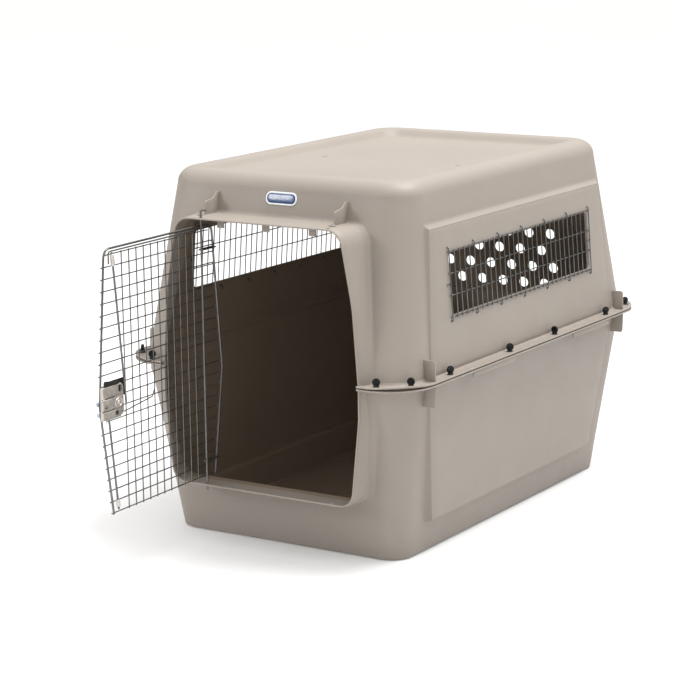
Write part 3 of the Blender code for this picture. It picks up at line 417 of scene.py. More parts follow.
def sample_outline(outline, shares):
    """Points and outward normals at shares of the outline's length."""
    points = np.array([tuple(point) for point in outline])
    steps = np.linalg.norm(np.diff(points, axis=0), axis=1)
    length = np.concatenate([[0.0], np.cumsum(steps)])
    spots = []
    for share in shares:
        target = share * length[-1]
        before, after = max(target - 0.002, 0.0), min(target + 0.002, length[-1])
        spot = [np.interp(target, length, points[:, axis]) for axis in (0, 1)]
        ahead = [np.interp(after, length, points[:, axis]) - np.interp(before, length, points[:, axis])
                 for axis in (0, 1)]
        spots.append((Vector(spot), Vector(ahead).normalized()))
    return spots


def tunnel_growth(z, y, wall_y):
    """Sideways growth of the tunnel at a depth, splayed out towards the seam."""
    run = y - LIP_Y - RIM_DEPTH
    if run < 0:
        return 0.0
    reach = SPLAY_ABOVE if z > SEAM_Z else SPLAY_BELOW
    splay = TUNNEL_SPLAY * max(0.0, 1.0 - abs(z - SEAM_Z) / reach) ** 2
    return RIM_STEP + TUNNEL_FLARE * run + splay * min(run, wall_y - LIP_Y - RIM_DEPTH)


def section(spot, y, grow):
    """Tunnel point at a depth, moved sideways by the tunnel's growth, less so near the middle."""
    side = max(-1.0, min(1.0, spot.x / FULL_GROWTH_X))
    return Vector((spot.x + side * grow, y, spot.y))


def boundary_shares(outline, levels):
    """Share of the outline's length for each grid line of the front patch."""
    points = np.array([tuple(point) for point in outline])
    steps = np.linalg.norm(np.diff(points, axis=0), axis=1)
    length = np.concatenate([[0.0], np.cumsum(steps)])
    third = len(outline) // 2
    corner = length[third - 9] / length[-1]
    rise = [abs(z - levels[0]) / abs(levels[-1] - levels[0]) * corner for z in levels]
    across = [mix(corner, 1 - corner, index / FRONT_SAMPLES) for index in range(1, FRONT_SAMPLES)]
    return rise + across + [1 - share for share in reversed(rise)]


def front_patch(part, levels):
    """Rows of points from the tunnel's front edge out to the edge of the front patch."""
    half_at, radius_at = HALF[part], RADIUS[part]
    outline = doorway_outline(part)
    spots = sample_outline(outline, boundary_shares(outline, levels))
    border = [(patch_start(half_at(z)[0], radius_at(z)), z) for z in levels]
    start, top_z = border[-1]
    border += [(mix(start, -start, index / FRONT_SAMPLES), top_z) for index in range(1, FRONT_SAMPLES)]
    border += [(-p, z) for p, z in reversed(border[:len(levels)])]
    rows = []
    for kind, value in PATCH_ROWS:
        row = []
        for (spot, ahead), (edge_p, edge_z) in zip(spots, border):
            normal = Vector((ahead.y, -ahead.x)) * UP[part]
            wall_y = -half_at(spot.y)[1]
            flare_end = wall_y - ROOT_FILLET
            near = section(spot, flare_end, tunnel_growth(spot.y, flare_end, wall_y))
            root = section(spot, wall_y, tunnel_growth(spot.y, wall_y, wall_y))
            foot = Vector((root.x, spot.y)) + normal * ROOT_FILLET
            if kind == "lip":
                point = section(spot, LIP_Y + value, 0.0)
            elif kind == "step":
                point = section(spot, LIP_Y + value, RIM_STEP)
            elif kind == "tunnel":
                y = mix(LIP_Y + RIM_DEPTH, flare_end, value)
                rib = RIB_HEIGHT if part == "lower" and value in RIB_SHARES else 0.0
                point = section(spot, y, tunnel_growth(spot.y, y, wall_y) + rib)
            elif kind == "bend":
                flat = wall_point(foot.x, *half_at(foot.y), radius_at(foot.y))
                end = Vector((flat.x, flat.y, foot.y))
                point = mix(mix(near, root, value), mix(root, end, value), value)
            else:
                p, z = mix(foot.x, edge_p, value), mix(foot.y, edge_z, value)
                flat = wall_point(p, *half_at(z), radius_at(z))
                point = Vector((flat.x, flat.y, z))
            row.append(point)
        rows.append(row)
    return rows


# ---------------------------------------------------------------- the shell skins
def upper_levels():
    levels = [SEAM_Z + SEAM_GAP / 2, 0.4280, 0.4330, 0.4400]
    levels += list(np.linspace(0.46, 0.745, 13))
    levels += [0.7580 - 2 * GROOVE_AT, 0.7580 - GROOVE_AT]
    levels += [0.7580 + 0.00325 * step for step in range(5)]
    levels += [0.7760, 0.7900, 0.8090, HEIGHT - TOP_ROUND]
    return levels


def start_skin(part, levels):
    """Wall and front patch of a shell, and the measures and first ring of its closed end."""
    bm = bmesh.new()
    rows = [strip_row(HALF[part](z), RADIUS[part](z), z, PANEL[part]) for z in levels]
    add_rows(bm, rows, closed=False)
    add_rows(bm, front_patch(part, levels), closed=False)
    end_z = levels[-1]
    half, radius = HALF[part](end_z), RADIUS[part](end_z)
    return bm, half, radius, end_z, [rows[-1] + front_row(half, radius, end_z)]


def upper_skin():
    bm, half, corner, base_z, rings = start_skin("upper", upper_levels())
    for step in range(1, 11):
        share = step / 10
        angle = share * pi / 2
        inset = TOP_ROUND * (1 - cos(angle)) + 0.001 * step / 10
        radius = corner - inset * 0.7 - 0.0009 * step / 10
        rings.append(ring_at(half, inset, radius, base_z + TOP_ROUND * sin(angle), UPPER_PANEL))
    crest = (half[0] - inset, half[1] - inset)
    for share in (0.35, 0.75, 1.0):
        rings.append(ring_at(crest, RIM_WIDTH * share, 0.0475 - 0.004 * share,
                             HEIGHT - RIM_DROP * share * share, UPPER_PANEL))
    for step in range(1, 11):
        share = step / 10
        drop = RIM_DROP + (RECESS_DEPTH - RIM_DROP) * (1 - cos(share * pi)) / 2
        rings.append(ring_at(crest, RIM_WIDTH + RECESS_RUN * share, 0.0435 - RECESS_RUN * share * 0.4,
                             HEIGHT - drop, UPPER_PANEL))
    add_rows(bm, rings, closed=True, cap_end=True)
    return skin_object("upper_shell_moulding", bm, 1)


def ring_at(half, inset, radius, z, panel):
    """Whole ring of wall points, drawn in from the given half sizes."""
    half = (half[0] - inset, half[1] - inset)
    return strip_row(half, radius, z, panel) + front_row(half, radius, z)


def lower_levels():
    levels = [SEAM_Z - SEAM_GAP / 2, 0.4180, 0.4130, 0.4050]
    levels += list(np.linspace(0.385, 0.098, 13))
    levels += [0.0860, 0.0796 + 2 * GROOVE_AT, 0.0796 + GROOVE_AT]
    return levels + [0.0796, 0.0787, 0.0778, 0.0769, 0.0760, 0.0700, 0.0500, 0.0300, 0.0120, BASE_ROUND]


def lower_skin():
    bm, half, corner, _, rings = start_skin("lower", lower_levels())
    for inset, z in ((0.0003, 0.0048), (0.0011, 0.0036), (0.0024, 0.0029), (0.0045, 0.0026), (0.0095, 0.0026),
                     (0.0105, 0.0020), (0.0110, 0.0)):
        rings.append(ring_at(half, inset, corner - inset, z, LOWER_PANEL))
    add_rows(bm, rings, closed=True, cap_end=True)
    return skin_object("lower_shell_moulding", bm, -1)


def skin_object(name, bm, up):
    """Joins the skin's patches, faces them outwards and thickens them to the moulded wall."""
    bmesh.ops.remove_doubles(bm, verts=bm.verts, dist=0.00002)
    bmesh.ops.recalc_face_normals(bm, faces=bm.faces)
    bm.faces.ensure_lookup_table()
    cap = max(bm.faces, key=lambda face: face.calc_area())
    if cap.normal.z * up < 0:
        bmesh.ops.reverse_faces(bm, faces=bm.faces)
    thicken(bm)
    obj = finish_mesh(name, bm)
    obj.data.materials.append(MATERIALS["shell"])
    # second material: a darker copy of the plastic for the inner skin, painted shade of the cabin
    obj.data.materials.append(MATERIALS["shell_painted_shade_inside"])
    round_lip(obj)
    return obj


def thicken(bm):
    """Adds the inner skin one wall thickness inside, closed along the seam and the tunnel's rim."""
    bm.normal_update()
    faces = list(bm.faces)
    rims = [edge.link_loops[0] for edge in bm.edges if edge.is_boundary]
    inner = {}
    for vert in list(bm.verts):
        spot = vert.co - vert.normal * WALL * min(vert.calc_shell_factor(), 1.2)
        if abs(vert.co.z - SEAM_Z) < SEAM_GAP:
            spot.z = vert.co.z
        if abs(vert.co.y - LIP_Y) < 0.0001:
            spot.y = vert.co.y
        inner[vert] = bm.verts.new(spot)
    rims = [(loop.vert, loop.link_loop_next.vert) for loop in rims]
    for face in faces:
        copy = bm.faces.new([inner[vert] for vert in reversed(face.verts)])
        # inner faces behind the tunnel's mouth take the darker copy: painted shade
        copy.material_index = 1 if face.calc_center_median().y > JAMB_Y else 0
    for first, second in rims:
        bm.faces.new([second, first, inner[first], inner[second]])


def round_lip(obj):
    """Rounds both edges of the tunnel's front rim."""
    bm = bmesh.new()
    bm.from_mesh(obj.data)
    edges = []
    for edge in bm.edges:
        on_rim = all(abs(vert.co.y - LIP_Y) < 0.0001 for vert in edge.verts)
        if on_rim and len(edge.link_faces) == 2 and edge.calc_face_angle() > radians(50):
            edges.append(edge)
    bmesh.ops.bevel(bm, geom=edges, offset=0.0014, segments=3, profile=0.5, affect="EDGES")
    bm.to_mesh(obj.data)
    bm.free()


# ---------------------------------------------------------------- flanges, fins and holes
FLANGE_LIFT = {"upper": 0.0014, "lower": -0.0008}
CORNER_LIFT = {"upper": 0.0030, "lower": -0.0010}
FLANGE_BAND = 0.007


def plan_ring(half, radius):
    """Rounded rectangle as (x, y, nearness to a corner's middle)."""
    corners = ((1, 1), (-1, 1), (-1, -1), (1, -1))
    straight, turns = 10, 18
    ring = []
    for quarter, (sx, sy) in enumerate(corners):
        centre = Vector((sx * (half[0] - radius), sy * (half[1] - radius)))
        for step in range(turns + 1):
            angle = (quarter + step / turns) * pi / 2
            weight = sin(step / turns * pi) ** 2
            ring.append((centre.x + radius * cos(angle), centre.y + radius * sin(angle), weight))
        after = (quarter + 1) % 4
        nx, ny = corners[after]
        angle = after * pi / 2
        x_to = nx * (half[0] - radius) + radius * cos(angle)
        y_to = ny * (half[1] - radius) + radius * sin(angle)
        x_from, y_from, _ = ring[-1]
        for step in range(1, straight):
            share = step / straight
            ring.append((mix(x_from, x_to, share), mix(y_from, y_to, share), 0.0))
    return ring


def flange_solid(part):
    """Ring around the seam with a lifted edge band, rounded edges and a filleted root."""
    up = UP[part]
    lift = FLANGE_LIFT[part] * up
    outer = FLANGE
    band = outer - FLANGE_BAND
    profile = [(-0.003, 0.0, 0.0), (band - 0.0045, 0.0, 0.0), (band - 0.0010, lift * 0.5, 0.5),
               (band + 0.0020, lift, 1.0), (outer - 0.0010, lift, 1.0), (outer, lift + 0.0010, 1.0),
               (outer, lift + WALL - 0.0014, 1.0), (outer - 0.0004, lift + WALL - 0.0004, 1.0),
               (outer - 0.0014, lift + WALL, 1.0), (band + 0.0012, lift + WALL, 1.0),
               (band + 0.0002, lift + WALL - 0.0003, 1.0), (band - 0.0016, lift * 0.45 + WALL, 0.45),
               (band - 0.0036, WALL, 0.0), (0.0070, WALL, 0.0), (0.0030, WALL + 0.0009, 0.0),
               (0.0008, WALL + 0.0032, 0.0), (-0.0004, WALL + 0.0062, 0.0), (-0.0034, WALL + 0.0062, 0.0)]
    rows = []
    for u, h, share in profile + profile[:1]:
        row = []
        for x, y, weight in plan_ring((SEAM_HALF[0] + u, SEAM_HALF[1] + u), CORNER + u):
            extra = CORNER_LIFT[part] * up * weight * share
            row.append(Vector((x, y, SEAM_Z + up * (SEAM_GAP / 2 + h + extra))))
        rows.append(row)
    ring = solid(part + "_flange", rows, capped=False)
    combine(ring, doorway_prism(part), "DIFFERENCE")
    return ring


def doorway_prism(part):
    """Flared volume inside the tunnel, used to open the flange."""
    spots = sample_outline(doorway_outline(part), list(np.linspace(0, 1, 60)))
    sign = UP[part]
    points = [spot - Vector((ahead.y, -ahead.x)) * sign * 0.002 for spot, ahead in spots]
    sink = Vector((0.0, 0.03 * sign))
    points = [points[0] - sink] + points + [points[-1] - sink]
    rows = []
    for y in (LIP_Y - 0.05, LIP_Y + 0.0058, LIP_Y + RIM_DEPTH, None, -0.520):
        row = []
        for point in points:
            wall_y = -HALF[part](point.y)[1]
            here = wall_y if y is None else y
            row.append(section(point, here, tunnel_growth(point.y, here, wall_y)))
        rows.append(row)
    return solid(part + "_prism", rows)


def bevelled(name, bm, width):
    """Object from the solids in a mesh under construction, with every edge rounded."""
    edges = [edge for edge in bm.edges if edge.is_manifold and edge.calc_face_angle() > radians(30)]
    bmesh.ops.bevel(bm, geom=edges, offset=width, segments=2, profile=0.5,
                    affect="EDGES", clamp_overlap=True)
    return finish_mesh(name, bm)


def fin_solid(name, profile, place):
    """Flat fin from a closed profile; place turns a profile point and an offset into a position."""
    bm = bmesh.new()
    add_solid(bm, [[place(a, b, off) for a, b in profile] for off in (-FIN / 2, FIN / 2)])
    bmesh.ops.recalc_face_normals(bm, faces=bm.faces)
    return bevelled(name, bm, 0.0007)


def box_solid(name, low, high, width):
    centre = [(a + b) / 2 for a, b in zip(low, high)]
    size = [b - a for a, b in zip(low, high)]
    bm = bmesh.new()
    bmesh.ops.create_cube(bm, size=1.0, matrix=Matrix.Translation(centre) @ Matrix.Diagonal((*size, 1.0)))
    return bevelled(name, bm, width)


def side_fin(part, side, end):
    """Stiffening fin standing between a flange and the side wall."""
    half = HALF[part]
    foot, shoulder, head = {"upper": (0.4255, 0.4690, 0.4745), "lower": (0.4205, 0.3730, 0.3675)}[part]
    profile = [(half(foot)[0] - 0.003, foot), (0.3962, foot), (0.3948, shoulder),
               (0.3935, mix(shoulder, head, 0.6)), (0.3905, head), (half(head)[0] - 0.003, head)]
    return fin_solid("side_fin", profile, lambda a, b, off: Vector((side * a, end * SIDE_FIN_Y + off, b)))


def front_fin(side):
    """Fin with a stepped top between the tunnel roof and the front wall."""
    profile = [(-0.496, 0.770), (-0.546, 0.770), (-0.546, 0.7975), (-0.5450, 0.8005), (-0.5415, 0.8030),
               (-0.5350, 0.8042), (-0.5200, 0.8060), (-0.5120, 0.8085), (-0.5070, 0.8125), (-0.5035, 0.8190),
               (-0.488, 0.8190)]
    return fin_solid("front_fin", profile, lambda a, b, off: Vector((side * FRONT_FIN_X + off, a, b)))


def lathe(bm, profile, segments, matrix):
    """Turned solid about Z from (radius, height) pairs, closed at both ends."""
    add_solid(bm, [circle(radius, height, segments, matrix) for radius, height in profile])


def lathed_object(name, profile, segments, matrix):
    bm = bmesh.new()
    lathe(bm, profile, segments, matrix)
    return closed_object(name, bm)


BOLT_POINTS = ((0.386, 0.115, 20), (0.386, 0.398, 65), (0.370, 0.545, 35), (0.3075, 0.590, 80))


def bolt_cutters(bm):
    for x, y, _ in BOLT_POINTS:
        for sx, sy in ((1, 1), (1, -1), (-1, 1), (-1, -1)):
            add_cylinder(bm, (sx * x, sy * y, SEAM_Z - 0.02), (sx * x, sy * y, SEAM_Z + 0.02), 0.0035, 16)


def rod_cutters(bm, level, rod_x):
    for x, radius, segments in ((HINGE_X, 0.0032, 20), (rod_x, 0.0048, 24)):
        add_cylinder(bm, (x, DOOR_Y, level - 0.015), (x, DOOR_Y, level + 0.015), radius, segments)


def hook_spots():
    """(y, z) where a window grille's bent ends pass through the wall."""
    spots = []
    for index in range(0, WINDOW_BARS, HOOK_EVERY):
        y = -WINDOW_HALF_Y + index * WINDOW_PITCH
        spots += [(y, WINDOW_Z[0] - HOOK_UP), (y, WINDOW_Z[1] + HOOK_UP)]
    middle = sum(WINDOW_Z) / 2
    return spots + [(-WINDOW_HALF_Y - HOOK_ALONG, middle), (WINDOW_HALF_Y + HOOK_ALONG, middle)]


def upper_cutters():
    bm = bmesh.new()
    bolt_cutters(bm)
    low, high = WINDOW_Z[0] + 0.004, WINDOW_Z[1] - 0.004
    half_y = WINDOW_HALF_Y - 0.004
    outline = fillet([(-half_y, low), (half_y, low), (half_y, high), (-half_y, high)], [0.010] * 4, 8)
    for side in (1, -1):
        # a slight flare outwards rounds the window's edge
        rows = []
        for off, grow in ((-0.020, 0.0), (0.0035, 0.0), (0.0075, 0.0005), (0.020, 0.0050)):
            row = []
            for y, z in outline:
                wide = grow * (1 if y > 0 else -1)
                tall = grow * (1 if z > (low + high) / 2 else -1)
                row.append(Vector((side * (upper_half(z)[0] + off), y + wide, z + tall)))
            rows.append(row)
        add_solid(bm, rows)
        for y, z in hook_spots():
            x = upper_half(z)[0]
            add_cylinder(bm, (side * (x - 0.02), y, z), (side * (x + 0.02), y, z), 0.0027, 12)
    for row in range(4):
        count = 5 if row % 2 == 0 else 6
        for index in range(count):
            x = (index - (count - 1) / 2) * VENT_PITCH
            z = VENT_LOW_Z + row * VENT_RISE
            y = upper_half(z)[1]
            turn = Matrix.Translation((x, y, z)) @ Matrix.Rotation(-pi / 2, 4, "X")
            lathe(bm, [(0.0135, -0.030), (0.0135, -0.0012), (0.0139, -0.0004), (0.0148, 0.0008),
                       (0.0160, 0.006)], 28, turn)
    rod_cutters(bm, DOORWAY_TOP, LEDGE_ROD_X)
    for side in (1, -1):
        add_cylinder(bm, (side * SOCKET_X, SOCKET_Y, DOORWAY_TOP - 0.02),
                     (side * SOCKET_X, SOCKET_Y, DOORWAY_TOP + 0.02), 0.0040, 20)
    bmesh.ops.recalc_face_normals(bm, faces=bm.faces)
    return finish_mesh("upper_cutters", bm)


def lower_cutters():
    bm = bmesh.new()
    bolt_cutters(bm)
    rod_cutters(bm, DOORWAY_SILL, SILL_ROD_X)
    bmesh.ops.recalc_face_normals(bm, faces=bm.faces)
    return finish_mesh("lower_cutters", bm)


def upper_extras():
    solids = [flange_solid("upper")]
    for side in (1, -1):
        solids += [side_fin("upper", side, end) for end in (1, -1)]
        solids.append(front_fin(side))
        place = Matrix.Translation((side * SOCKET_X, SOCKET_Y, DOORWAY_TOP))
        solids.append(lathed_object("socket", [
            (0.0080, -0.0020), (0.0078, 0.0026), (0.0072, 0.0034), (0.0062, 0.0037), (0.0050, 0.0035),
            (0.0030, 0.0033)], 28, place))
        place = Matrix.Translation((side * 0.190, -0.015, HEIGHT - RECESS_DEPTH))
        solids.append(lathed_object("roof_dot", [
            (0.0062, -0.0020), (0.0060, 0.0006), (0.0055, 0.0013), (0.0040, 0.0016)], 24, place))
    for x in (-0.125, 0.0, 0.125):
        low, high = (x - 0.009, -0.560, 0.746), (x + 0.009, -0.556, DOORWAY_TOP - 0.002)
        solids.append(box_solid("stop_tab", low, high, 0.0009))
    return solids


def lower_extras():
    solids = [flange_solid("lower")]
    for side in (1, -1):
        solids += [side_fin("lower", side, end) for end in (1, -1)]
        for y_from, y_to in ((-0.309, -0.104), (0.195, 0.395)):
            low, high = (side * LIP_X - 0.0015, y_from, 0.4045), (side * LIP_X + 0.0015, y_to, 0.4185)
            solids.append(box_solid("grip_lip", low, high, 0.0008))
    return solids


def build_shells():
    for part, skin, extras, cutters in (("upper", upper_skin, upper_extras, upper_cutters),
                                        ("lower", lower_skin, lower_extras, lower_cutters)):
        shell = skin()
        for solid in extras():
            combine(shell, solid, "UNION")
        combine(shell, cutters(), "DIFFERENCE", use_self=True)
        shade(shell, 30)
        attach(shell, "carrier_body")
        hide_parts(part + "_shell")


# ---------------------------------------------------------------- materials
class Recipe:
    """Small helper around one Principled material's node tree."""

    def __init__(self, name, colour, roughness, metallic=0.0):
        self.mat = bpy.data.materials.new(name)
        self.mat.use_nodes = True
        self.tree = self.mat.node_tree
        self.shader = self.tree.nodes["Principled BSDF"]
        self.shader.inputs["Metallic"].default_value = metallic
        self.shader.inputs["Roughness"].default_value = roughness
        self.coords = self.tree.nodes.new("ShaderNodeTexCoord").outputs["Object"]

    def node(self, kind, output, values, **settings):
        """New node with its settings, and its sockets set to values or joined to other outputs."""
        node = self.tree.nodes.new("ShaderNode" + kind)
        for key, setting in settings.items():
            setattr(node, key, setting)
        for key, value in values.items():
            if isinstance(value, bpy.types.NodeSocket):
                self.tree.links.new(value, node.inputs[key])
            else:
                node.inputs[key].default_value = value
        return node.outputs[output]

    def stretch(self, scale):
        return self.node("Mapping", "Vector", {"Scale": scale, "Vector": self.coords})

    def noise(self, scale, detail=3.0, rough=0.5, vector=None):
        return self.node("TexNoise", "Fac", {"Scale": scale, "Detail": detail, "Roughness": rough,
                                             "Vector": vector or self.coords})

    def cells(self, scale):
        return self.node("TexVoronoi", "Distance", {"Scale": scale, "Vector": self.coords})

    def spread(self, value, low, high, to_low, to_high):
        return self.node("MapRange", "Result", {"From Min": low, "From Max": high, "To Min": to_low,
                                                "To Max": to_high, "Value": value})

    def sums(self, a, b, operation="ADD"):
        return self.node("Math", "Value", {0: a, 1: b}, operation=operation)

    def blend(self, share, a, b):
        a, b = [(*value, 1.0) if isinstance(value, tuple) else value for value in (a, b)]
        return self.node("Mix", "Result", {"Factor": share, "A": a, "B": b}, data_type="RGBA")

    def height(self):
        return self.node("SeparateXYZ", "Z", {"Vector": self.coords})

    def feed(self, name, output):
        self.tree.links.new(output, self.shader.inputs[name])

    def bump(self, heights):
        """Stacks (height output, strength, distance) layers of bump."""
        below = {}
        for height, strength, distance in heights:
            layer = {"Strength": strength, "Distance": distance, "Height": height, **below}
            below = {"Normal": self.node("Bump", "Normal", layer)}
        self.feed("Normal", below["Normal"])


def scaled(colour, factor):
    return tuple(channel * factor for channel in colour)


def moulded_plastic(name, colour, roughness, grain=720.0, edge_highlight_and_darker_base=True, specular=0.42):
    """Fine-grained moulded plastic with faint clouding and scuffs, and optionally a painted highlight,
    chipped like wear, along the flange edges and darkening towards the bottom.
    """
    recipe = Recipe(name, colour, roughness)
    cloud = recipe.spread(recipe.noise(2.4, 4.0, 0.55), 0.35, 0.65, 0.0, 1.0)
    base = recipe.blend(cloud, scaled(colour, 0.965), scaled(colour, 1.03))
    speck = recipe.spread(recipe.noise(420.0, 2.0, 0.6), 0.38, 0.62, 0.0, 0.28)
    base = recipe.blend(speck, base, scaled(colour, 0.86))
    streak = recipe.noise(9.0, 5.0, 0.7, recipe.stretch((1.0, 1.0, 14.0)))
    base = recipe.blend(recipe.spread(streak, 0.66, 0.74, 0.0, 0.35), base, scaled(colour, 1.16))
    if edge_highlight_and_darker_base:
        # painted highlight: a lighter band, broken into chips, within about a centimetre of the seam where
        # the flange edges catch the light
        above = recipe.sums(recipe.height(), SEAM_Z, "SUBTRACT")
        near = recipe.spread(recipe.sums(above, above, "MULTIPLY"), 0.00002, 0.00009, 1.0, 0.0)
        highlight_breakup = recipe.spread(recipe.noise(70.0, 4.0, 0.65), 0.50, 0.62, 0.0, 0.55)
        base = recipe.blend(recipe.sums(near, highlight_breakup, "MULTIPLY"), base, scaled(colour, 1.22))
        # darker towards the bottom over the lowest 5 cm, broken up by noise
        bottom_share = recipe.spread(recipe.height(), 0.0, 0.05, 0.55, 0.0)
        bottom_darkening = recipe.sums(bottom_share, recipe.noise(24.0, 5.0, 0.6), "MULTIPLY")
        base = recipe.blend(bottom_darkening, base, scaled(colour, 0.70))
    recipe.feed("Base Color", base)
    recipe.feed("Roughness", recipe.spread(recipe.noise(11.0, 4.0, 0.6), 0.3, 0.7,
                                           roughness - 0.05, roughness + 0.07))
    recipe.bump(((recipe.cells(grain), 0.35, 0.00012), (recipe.noise(grain * 1.7, 2.0, 0.6), 0.30, 0.00008),
                 (recipe.noise(230.0, 3.0, 0.6), 0.60, 0.00060), (recipe.noise(5.0, 2.0, 0.5), 0.25, 0.0012)))
    recipe.shader.inputs["Specular IOR Level"].default_value = specular
    return recipe.mat


def metal(name, colour, roughness, streaks, spots, metallic=1.0):
    """Plated steel with drawn or rolled streaks, dull blotches and small pits."""
    recipe = Recipe(name, colour, roughness, metallic)
    cloud = recipe.spread(recipe.noise(55.0, 4.0, 0.6), 0.35, 0.68, 0.0, 1.0)
    base = recipe.blend(cloud, scaled(colour, 0.80), scaled(colour, 1.08))
    blotch = recipe.spread(recipe.noise(spots, 5.0, 0.65), 0.58, 0.70, 0.0, 0.5)
    recipe.feed("Base Color", recipe.blend(blotch, base, scaled(colour, 0.62)))
    drawn = recipe.noise(260.0, 3.0, 0.6, recipe.stretch(streaks))
    recipe.feed("Roughness", recipe.sums(recipe.spread(drawn, 0.3, 0.7, roughness - 0.07, roughness + 0.09),
                                         recipe.sums(blotch, 0.25, "MULTIPLY")))
    recipe.bump(((drawn, 0.25, 0.00006), (recipe.noise(spots * 3.0, 3.0, 0.6), 0.30, 0.00012)))
    return recipe.mat


def gloss_enamel(name, colour, roughness):
    """Smooth badge plastic with faint orange peel and hazing."""
    recipe = Recipe(name, colour, roughness)
    haze = recipe.noise(38.0, 4.0, 0.6)
    base = recipe.blend(recipe.spread(haze, 0.35, 0.7, 0.0, 1.0), scaled(colour, 0.93), scaled(colour, 1.06))
    fleck = recipe.spread(recipe.noise(900.0, 2.0, 0.6), 0.62, 0.75, 0.0, 0.25)
    recipe.feed("Base Color", recipe.blend(fleck, base, scaled(colour, 1.35)))
    recipe.feed("Roughness", recipe.spread(haze, 0.3, 0.7, roughness - 0.04, roughness + 0.10))
    recipe.bump(((recipe.noise(260.0, 2.0, 0.5), 0.12, 0.00010),
                 (recipe.noise(60.0, 2.0, 0.5), 0.10, 0.0003)))
    recipe.shader.inputs["Coat Weight"].default_value = 0.4
    recipe.shader.inputs["Coat Roughness"].default_value = 0.12
    return recipe.mat


def floor_material():
    recipe = Recipe("studio_floor", (0.70, 0.70, 0.70), 0.9)
    cloud = recipe.noise(0.6, 3.0, 0.5)
    recipe.feed("Base Color", recipe.blend(cloud, (0.695, 0.695, 0.695), (0.71, 0.71, 0.71)))
    recipe.shader.inputs["Emission Color"].default_value = (1.0, 1.0, 1.0, 1.0)
    recipe.shader.inputs["Emission Strength"].default_value = 0.12
    return recipe.mat


TAUPE = (0.278, 0.243, 0.211)
MATERIALS = {
    "shell": moulded_plastic("shell_plastic_moulded", TAUPE, 0.50),
    # darker, rougher copy of the shell plastic for the inner skin: painted shade of the cabin, the same
    # plastic as outside
    "shell_painted_shade_inside": moulded_plastic("shell_plastic_painted_shade_inside", (0.230, 0.178, 0.130), 0.62, edge_highlight_and_darker_base=False),
    "black": moulded_plastic("fastener_plastic_moulded", (0.006, 0.006, 0.007), 0.34, 950.0, edge_highlight_and_darker_base=False,
                             specular=0.22),
    "zinc": metal("zinc_wire_drawn", (0.17, 0.169, 0.165), 0.34, (1.0, 1.0, 0.05), 120.0),
    "steel": metal("stamped_steel_plated", (0.62, 0.575, 0.525), 0.34, (0.06, 1.0, 1.0), 45.0, 0.72),
    # darker steel for the sliders, and painted shade on the curled tab
    "dark_steel": metal("stamped_steel_darkened", (0.085, 0.082, 0.078), 0.40, (0.06, 1.0, 1.0), 60.0),
    "grip": gloss_enamel("latch_grip_glossy", (0.42, 0.49, 0.60), 0.20),
    "pale": gloss_enamel("badge_pale_enamel", (0.78, 0.80, 0.82), 0.28),
    "blue": gloss_enamel("badge_blue_enamel", (0.010, 0.045, 0.150), 0.22),
}


# ---------------------------------------------------------------- piece helpers
def piece(obj, angle, body, slot, material, *nodes):
    """Shading, material, body and the CAD nodes that a finished piece stands for; the slot argument is not
    used.
    """
    shade(obj, angle)
    obj.data.materials.clear()
    obj.data.materials.append(MATERIALS[material])
    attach(obj, body)
    if nodes:
        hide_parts(*nodes)


def wire_piece(name, bm, body, node, angle=45):
    piece(closed_object(name, bm), angle, body, "zinc_wire", "zinc", node)


# ---------------------------------------------------------------- window grilles
def panel_spot(side, off, y, z):
    raised = panel_mix(UPPER_PANEL, "near_raise", "far_raise", z)
    return Vector((side * (upper_half(z)[0] + raised + off), y, z))


def inner_spot(side, y, z):
    return Vector((side * (upper_half(z)[0] - WALL - 0.0018), y, z))


def build_grille(name, side):
    """Welded wire grid on the raised panel, hooked through the wall at every fifth bar."""
    low, high = WINDOW_Z
    lay = 0.0004 + GRILLE_WIRE
    proud = lay + 2 * GRILLE_WIRE - 0.0006
    over = WINDOW_HALF_Y + 0.003
    rails = [low + (high - low) * index / 3 for index in range(4)]
    bm = bmesh.new()
    for z in rails:
        rail = [panel_spot(side, lay, -over + 2 * over * step / 24, z) for step in range(25)]
        add_tube(bm, rail, GRILLE_WIRE)
    for index in range(WINDOW_BARS):
        y = -WINDOW_HALF_Y + index * WINDOW_PITCH
        if index % HOOK_EVERY:
            add_tube(bm, [panel_spot(side, proud, y, low - 0.003), panel_spot(side, proud, y, rails[1]),
                          panel_spot(side, proud, y, rails[2]), panel_spot(side, proud, y, high + 0.003)],
                     GRILLE_WIRE)
        else:
            path = rounded_path((
                inner_spot(side, y, low - 0.018), inner_spot(side, y, low - HOOK_UP),
                panel_spot(side, proud, y, low - HOOK_UP), panel_spot(side, proud, y, high + HOOK_UP),
                inner_spot(side, y, high + HOOK_UP), inner_spot(side, y, high + 0.018)), 0.0024, 5)
            add_tube(bm, path, GRILLE_WIRE)
        for z in rails:
            add_bead(bm, panel_spot(side, (lay + proud) / 2, y, z), GRILLE_WIRE * 1.15, (0.75, 1.0, 1.0))
    middle = (low + high) / 2
    for end in (1, -1):
        outer = end * (WINDOW_HALF_Y + HOOK_ALONG)
        path = rounded_path((
            panel_spot(side, lay, end * (WINDOW_HALF_Y - 0.012), middle),
            panel_spot(side, lay, outer, middle),
            inner_spot(side, outer, middle), inner_spot(side, outer + end * 0.009, middle)), 0.0022, 5)
        add_tube(bm, path, GRILLE_WIRE)
    wire_piece(name + "_wires", bm, "carrier_body", name, 50)


# ---------------------------------------------------------------- fasteners
PADDLE_RADIUS = 0.0090
PADDLE_Z = 0.0112


